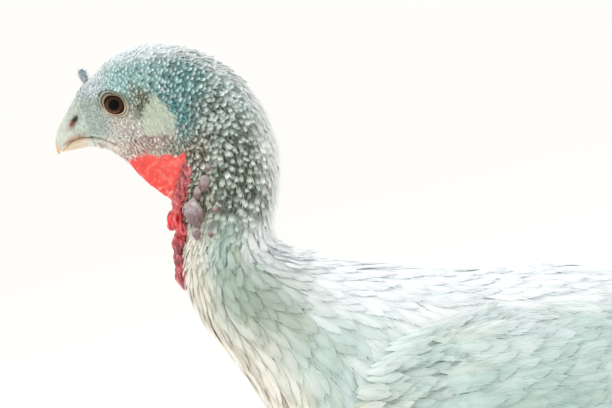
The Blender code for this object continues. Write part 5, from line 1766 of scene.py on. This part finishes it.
def add_shank(pile, side, legs):
    """The shank: broad plates in two rows down its front, small scales behind."""
    rows, columns = 170, 68
    f = np.linspace(-0.06, 1.10, rows)[:, None]
    b = turns(columns)[None]
    joint = np.exp(-((f / 0.09 - 0.45) ** 2))
    ankle = np.exp(-(((f - 1.0) / 0.12) ** 2))
    fore = SHANK_RADII[0] + joint * HOCK_SWELL[0] + ankle * ANKLE_SWELL[0]
    wide = SHANK_RADII[1] + joint * HOCK_SWELL[1] + ankle * ANKLE_SWELL[1]
    narrowed = 2.6 * smooth((f - 0.99) / 0.11)
    fore, wide = fore - narrowed, wide - narrowed
    ahead = unit(np.array([FOOT_X - HOCK_X, ANKLE_Z - HOCK_TOP]))
    front = np.array([ahead[1], -ahead[0]])
    count = 17.0
    level = f * count + 0.5 * (np.sin(b) > 0) + 0.25 * np.abs(np.sin(b))
    step = level - np.floor(level)
    facing = smooth((np.cos(b) + 0.15) / 0.4)
    plates = 0.42 * step**0.6 * (1 - smooth((step - 0.86) / 0.14)) - 0.1
    middle_seam = np.exp(-((np.sin(b) / 0.07) ** 2)) * (np.cos(b) > 0)
    plates = plates - 0.30 * middle_seam
    x = HOCK_X + (FOOT_X - HOCK_X) * f + front[0] * np.cos(b) * fore
    z = HOCK_TOP + (ANKLE_Z - HOCK_TOP) * f + front[1] * np.cos(b) * fore
    y = side * (LEG_Y + (FOOT_Y - LEG_Y) * f) + np.sin(b) * wide
    grid = np.stack([x, y, z], -1)
    pebbles = scales_at(grid.reshape(-1, 3), 2.6).reshape(x.shape)
    relief = plates * facing + (0.45 * pebbles - 0.2) * (1 - facing)
    axis = np.stack([np.cos(b) * front[0] + 0 * f, np.sin(b) + 0 * f, np.cos(b) * front[1] + 0 * f], -1)
    grid = grid + axis * relief[..., None]
    seam = np.maximum(smooth((step - 0.84) / 0.12), middle_seam) * facing
    seam = np.maximum(seam, (1 - facing) * (1 - pebbles))
    tint = scute_tint(legs, seam[..., None], facing[..., None])
    add_tube(pile, grid, tint, (0.0, 0.0), (0.5, 1.0))


def toe_lines(side, toe):
    """Where a toe starts, and the ways along and across it."""
    heading = math.radians(toe.heading)
    direction = np.array([-math.cos(heading), side * math.sin(heading), 0.0])
    across = np.array([-direction[1], direction[0], 0.0])
    return np.array([FOOT_X, side * FOOT_Y, 0.0]), direction, across


def add_foot(pile, side, legs):
    """Ankle and toes with plates on top and pads below, flat where they meet the floor."""
    rows, columns = 60, 64
    f = np.linspace(0, 1, rows)[:, None]
    b = turns(columns)[None]
    radius = np.interp(f, [0, 0.2, 0.5, 1], [5.5, 8.2, 9.3, 12.0])
    x = FOOT_X - 3.0 * f + radius * np.cos(b)
    y = side * FOOT_Y + radius * np.sin(b)
    z = ANKLE_Z + 4 - ANKLE_Z * f + 0 * b
    grid = np.stack([x, y, z], -1)
    pebbles = scales_at(grid.reshape(-1, 3), 2.8).reshape(x.shape)
    outward = np.stack([np.cos(b) + 0 * f, np.sin(b) + 0 * f], -1)
    grid[..., :2] += (0.5 * pebbles - 0.2)[..., None] * outward
    grid[..., 2] = np.maximum(grid[..., 2], 0.3)
    tint = scute_tint(legs, (1 - pebbles)[..., None], 0 * x[..., None])
    add_tube(pile, grid, tint, (0.5, 0.0), (0.6, 0.2))
    for k, toe in enumerate(TOES):
        start, direction, across = toe_lines(side, toe)
        rows, columns = 96, 48
        rounding = 0.96 + 0.05 * np.sin(np.linspace(0.2, math.pi / 2, 8))
        f = np.concatenate([np.linspace(0, 0.96, rows - 8), rounding])[:, None]
        close = np.sqrt(np.maximum(1 - (np.maximum(f - 0.96, 0) / 0.052) ** 2, 0.02))
        b = turns(columns)[None]
        swell = 1 + TOE_PAD_SWELL * np.cos(2 * math.pi * toe.pads * f)
        r = toe.radius * (TOE_ROOT - TOE_TAPER * f) * swell
        middle = TOE_ROOT_RISE * (1 - f) + TOE_SINK * r
        level = f * toe.length / 3.6
        step = level - np.floor(level)
        top = smooth((np.cos(b) - 0.1) / 0.5)
        under = smooth((-np.cos(b) - 0.1) / 0.5)
        r = r * close
        grid = start + direction * (toe.length * f)[..., None] + across * (r * np.sin(b))[..., None]
        grid[..., 2] += middle + 1.04 * r * np.cos(b)
        pebbles = scales_at(grid.reshape(-1, 3), 1.9).reshape(grid.shape[:2])
        plates = 0.38 * step**0.6 * (1 - smooth((step - 0.84) / 0.16)) - 0.1
        relief = plates * top + (0.35 * pebbles - 0.15) * (1 - top) + 0.12 * pebbles * under
        relief = relief * close
        grid[..., 2] += relief * np.cos(b)
        grid += across * (relief * np.sin(b))[..., None]
        grid[..., 2] = np.maximum(grid[..., 2], 0.3)
        seam = np.maximum(smooth((step - 0.82) / 0.12) * top, (1 - top) * (1 - pebbles))
        tint = scute_tint(legs, seam[..., None], top[..., None])
        add_tube(pile, grid, tint, (0.6, 0.24 * k), (1.0, 0.24 * k + 0.22))


def add_claw(pile, side, toe, legs):
    """A blunt arched claw with a groove under it, growing out of its toe."""
    start, direction, across = toe_lines(side, toe)
    rows, columns = 40, 40
    rounding = 0.95 + 0.05 * np.sin([0.5, 0.9, 1.2, 1.45, 1.57])
    f = np.concatenate([[-0.12], np.linspace(0, 0.95, rows - 6), rounding])[:, None]
    close = np.sqrt(np.maximum(1 - (np.maximum(f - 0.95, 0) / 0.051) ** 2, 0.02))
    b = turns(columns)[None]
    r = toe.radius * 0.69 * (1 - 0.86 * np.maximum(f, 0) ** 1.2)
    toe_end = toe.radius * (TOE_ROOT - TOE_TAPER) * (1 + TOE_PAD_SWELL)
    arch = 1.4 * np.sin(math.pi * np.clip(f, 0, 0.9)) - 1.7 * f * f
    middle = np.maximum(TOE_SINK * toe_end + arch, r + 0.3)
    r = r * close
    groove = 0.22 * r * np.exp(-(((np.cos(b) + 1) / 0.18) ** 2))
    grid = start + direction * (toe.length + 0.3 + toe.claw * f)[..., None]
    grid = grid + across * (0.86 * r * np.sin(b))[..., None]
    grid[..., 2] += middle + (r - groove) * np.cos(b) + 0.05 * np.sin(22 * f)
    dark = smooth(f)[..., None] + 0 * b[..., None]
    tint = np.array(legs.claw_colour) * (1 - 0.35 * dark) + np.array(srgb(226, 206, 176)) * 0.35 * dark
    add_tube(pile, grid, tint, (0.0, 0.2 * (toe.heading > 0)), (0.4, 0.2 + 0.2 * (toe.heading > 0)))


# Stage

CAMERA_AT, CAMERA_AWAY = (-177.0, 0.0, 522.0), 1265.0
CAMERA_RISE, CAMERA_ROLL = math.radians(5.0), math.radians(14.0)
CAMERA_LENS = 120.0
# Most bounces of light in all, and off dull surfaces: many, because white feathers light each other
BOUNCES = (24, 16)
# Half the floor's side, in metres
FLOOR_HALF = 60.0


def make_stage(stage):
    mesh = bpy.data.meshes.new("floor")
    half = FLOOR_HALF
    corners = [(-half, -half, 0), (half, -half, 0), (half, half, 0), (-half, half, 0)]
    mesh.from_pydata(corners, [], [(0, 1, 2, 3)])
    floor = add_object("floor", mesh)
    paper = bpy.data.materials.new("floor paper")
    paper.use_nodes = True
    nodes, links = paper.node_tree.nodes, paper.node_tree.links
    shader = nodes["Principled BSDF"]
    shader.inputs["Roughness"].default_value = 0.9
    grain = nodes.new("ShaderNodeTexNoise")
    grain.inputs["Scale"].default_value = 60.0
    mix = nodes.new("ShaderNodeMix")
    mix.data_type = "RGBA"
    mix.inputs[6].default_value = (*stage.floor_colour, 1.0)
    mix.inputs[7].default_value = (*[0.99 * c for c in stage.floor_colour], 1.0)
    links.new(grain.outputs["Fac"], mix.inputs["Factor"])
    links.new(mix.outputs[2], shader.inputs["Base Color"])
    mesh.materials.append(paper)

    world = bpy.data.worlds.new("studio")
    world.use_nodes = True
    sky = world.node_tree.nodes["Background"]
    sky.inputs["Color"].default_value = (1.0, 0.988, 0.955, 1.0)
    sky.inputs["Strength"].default_value = stage.surround
    bpy.context.scene.world = world

    target = Vector((CAMERA_AT[0] + X_SHIFT, 0, CAMERA_AT[2])) * MM
    add_area("overhead", target, (0.2, 0.8, 2.2), 1.8, stage.overhead_watts, (1.0, 0.97, 1.0))
    add_area("side_fill", target, (-0.9, -2.2, 0.6), 1.4, stage.fill_watts, (0.92, 1.0, 0.97))

    data = bpy.data.cameras.new("camera")
    data.lens = CAMERA_LENS
    data.sensor_width = 36.0
    camera = add_object("camera", data)
    away = Vector((0, -math.cos(CAMERA_RISE), math.sin(CAMERA_RISE)))
    right = Vector((1, 0, 0))
    up = away.cross(right)
    turned_right = right * math.cos(CAMERA_ROLL) - up * math.sin(CAMERA_ROLL)
    turned_up = right * math.sin(CAMERA_ROLL) + up * math.cos(CAMERA_ROLL)
    turn = Matrix((turned_right, turned_up, away)).transposed()
    camera.matrix_world = Matrix.Translation(target + away * CAMERA_AWAY * MM) @ turn.to_4x4()
    scene = bpy.context.scene
    scene.camera = camera
    scene.view_settings.view_transform = "Standard"
    scene.cycles.max_bounces, scene.cycles.diffuse_bounces = BOUNCES


def add_area(name, target, offset, size, watts, colour):
    data = bpy.data.lights.new(name, "AREA")
    data.shape = "DISK"
    data.size = size
    data.energy = watts
    data.color = colour
    light = add_object(name, data)
    light.location = target + Vector(offset)
    light.rotation_euler = (-Vector(offset)).to_track_quat("-Z", "Y").to_euler()


# Settings

class HeadSettings(bpy.types.PropertyGroup):
    flesh: FloatProperty(
        name="Flesh", description="Share of the light that sinks into bare skin", default=0.25,
        min=0.0, max=1.0, subtype="FACTOR",
    )
    feather_length: FloatProperty(
        name="Feather length", description="Length of the small feathers at the eye", default=0.0026,
        min=0.0005, max=0.01, unit="LENGTH",
    )
    bill_colour: FloatVectorProperty(
        name="Bill", description="Colour of the bill's horn", default=srgb(208, 216, 204), size=3,
        min=0.0, max=1.0, subtype="COLOR",
    )
    iris_colour: FloatVectorProperty(
        name="Iris", description="Colour of the iris", default=srgb(80, 54, 34), size=3,
        min=0.0, max=1.0, subtype="COLOR",
    )


class CoatSettings(bpy.types.PropertyGroup):
    feather_length: FloatProperty(
        name="Feather length", description="Length of the body feathers", default=0.046,
        min=0.01, max=0.12, unit="LENGTH",
    )
    feather_spacing: FloatProperty(
        name="Feather spacing", description="Distance between body feathers", default=0.0073,
        min=0.004, max=0.03, unit="LENGTH",
    )


class LegSettings(bpy.types.PropertyGroup):
    scale_colour: FloatVectorProperty(
        name="Scales", description="Colour of the leg's scales", default=srgb(206, 170, 158), size=3,
        min=0.0, max=1.0, subtype="COLOR",
    )
    seam_colour: FloatVectorProperty(
        name="Seams", description="Colour between the scales", default=srgb(134, 92, 84), size=3,
        min=0.0, max=1.0, subtype="COLOR",
    )
    claw_colour: FloatVectorProperty(
        name="Claws", description="Colour of the claws", default=srgb(186, 150, 122), size=3,
        min=0.0, max=1.0, subtype="COLOR",
    )


class StageSettings(bpy.types.PropertyGroup):
    floor_colour: FloatVectorProperty(
        name="Floor", description="Colour of the floor", default=(1.0, 1.0, 1.0), size=3,
        min=0.0, max=1.0, subtype="COLOR",
    )
    surround: FloatProperty(
        name="Surround", description="Strength of the light from all round", default=1.0, min=0.0,
    )
    overhead_watts: FloatProperty(
        name="Overhead light", description="Power of the soft light above", default=26.0,
        min=0.0, unit="POWER",
    )
    fill_watts: FloatProperty(
        name="Side light", description="Power of the soft light on the left side", default=3.0,
        min=0.0, unit="POWER",
    )


# Operators

class TURKEY_OT_skin(bpy.types.Operator):
    """Make the skin of head, neck, trunk and thighs, with lids and bulbs"""
    bl_idname = "turkey.skin"
    bl_label = "Skin"

    def execute(self, context):
        make_skin(context.scene.turkey_head)
        return {"FINISHED"}


class TURKEY_OT_head_coat(bpy.types.Operator):
    """Plant the small feathers of head and upper neck"""
    bl_idname = "turkey.head_coat"
    bl_label = "Head and Neck Feathers"

    def execute(self, context):
        make_head_coat(context.scene.turkey_head)
        make_neck_coat()
        return {"FINISHED"}


class TURKEY_OT_body_coat(bpy.types.Operator):
    """Plant the feathers of lower neck, trunk and thighs"""
    bl_idname = "turkey.body_coat"
    bl_label = "Body Feathers"

    def execute(self, context):
        make_body_coat(context.scene.turkey_coat)
        make_thigh_coat()
        return {"FINISHED"}


class TURKEY_OT_wings(bpy.types.Operator):
    """Make the folded wings"""
    bl_idname = "turkey.wings"
    bl_label = "Wings"

    def execute(self, context):
        make_wings()
        return {"FINISHED"}


class TURKEY_OT_tail(bpy.types.Operator):
    """Make the closed tail and its coverts"""
    bl_idname = "turkey.tail"
    bl_label = "Tail"

    def execute(self, context):
        make_tail()
        return {"FINISHED"}


class TURKEY_OT_bill(bpy.types.Operator):
    """Make both halves of the bill"""
    bl_idname = "turkey.bill"
    bl_label = "Bill"

    def execute(self, context):
        make_bill(context.scene.turkey_head)
        return {"FINISHED"}


class TURKEY_OT_eyes(bpy.types.Operator):
    """Make the eyes"""
    bl_idname = "turkey.eyes"
    bl_label = "Eyes"

    def execute(self, context):
        make_eyes(context.scene.turkey_head)
        return {"FINISHED"}


class TURKEY_OT_flesh(bpy.types.Operator):
    """Make snood and wattle"""
    bl_idname = "turkey.flesh"
    bl_label = "Snood and Wattle"

    def execute(self, context):
        make_snood(context.scene.turkey_head)
        make_wattle(context.scene.turkey_head)
        return {"FINISHED"}


class TURKEY_OT_legs(bpy.types.Operator):
    """Make shanks, feet and claws"""
    bl_idname = "turkey.legs"
    bl_label = "Legs"

    def execute(self, context):
        make_legs(context.scene.turkey_legs)
        return {"FINISHED"}


class TURKEY_OT_stage(bpy.types.Operator):
    """Set up floor, lights and camera"""
    bl_idname = "turkey.stage"
    bl_label = "Stage"

    def execute(self, context):
        make_stage(context.scene.turkey_stage)
        return {"FINISHED"}


OPERATORS = (
    TURKEY_OT_skin, TURKEY_OT_bill, TURKEY_OT_eyes, TURKEY_OT_flesh, TURKEY_OT_head_coat,
    TURKEY_OT_body_coat, TURKEY_OT_wings, TURKEY_OT_tail, TURKEY_OT_legs, TURKEY_OT_stage,
)
SETTINGS = (
    ("turkey_head", HeadSettings), ("turkey_coat", CoatSettings),
    ("turkey_legs", LegSettings), ("turkey_stage", StageSettings),
)


class TURKEY_PT_panel(bpy.types.Panel):
    """Settings and pieces of the turkey"""
    bl_idname = "TURKEY_PT_panel"
    bl_label = "Turkey"
    bl_space_type = "VIEW_3D"
    bl_region_type = "UI"
    bl_category = "Turkey"

    def draw(self, context):
        layout = self.layout
        for name, group in SETTINGS:
            column = layout.column()
            settings = getattr(context.scene, name)
            for setting in group.__annotations__:
                column.prop(settings, setting)
        for operator in OPERATORS:
            layout.operator(operator.bl_idname)


def register():
    for name, group in SETTINGS:
        bpy.utils.register_class(group)
        setattr(bpy.types.Scene, name, PointerProperty(type=group))
    for operator in OPERATORS:
        bpy.utils.register_class(operator)
    bpy.utils.register_class(TURKEY_PT_panel)


def unregister():
    bpy.utils.unregister_class(TURKEY_PT_panel)
    for operator in reversed(OPERATORS):
        bpy.utils.unregister_class(operator)
    for name, group in reversed(SETTINGS):
        delattr(bpy.types.Scene, name)
        bpy.utils.unregister_class(group)


def main():
    register()
    bpy.ops.turkey.skin()
    bpy.ops.turkey.bill()
    bpy.ops.turkey.eyes()
    bpy.ops.turkey.flesh()
    bpy.ops.turkey.head_coat()
    bpy.ops.turkey.body_coat()
    bpy.ops.turkey.wings()
    bpy.ops.turkey.tail()
    bpy.ops.turkey.legs()
    bpy.ops.turkey.stage()


if __name__ == "__main__":
    main()
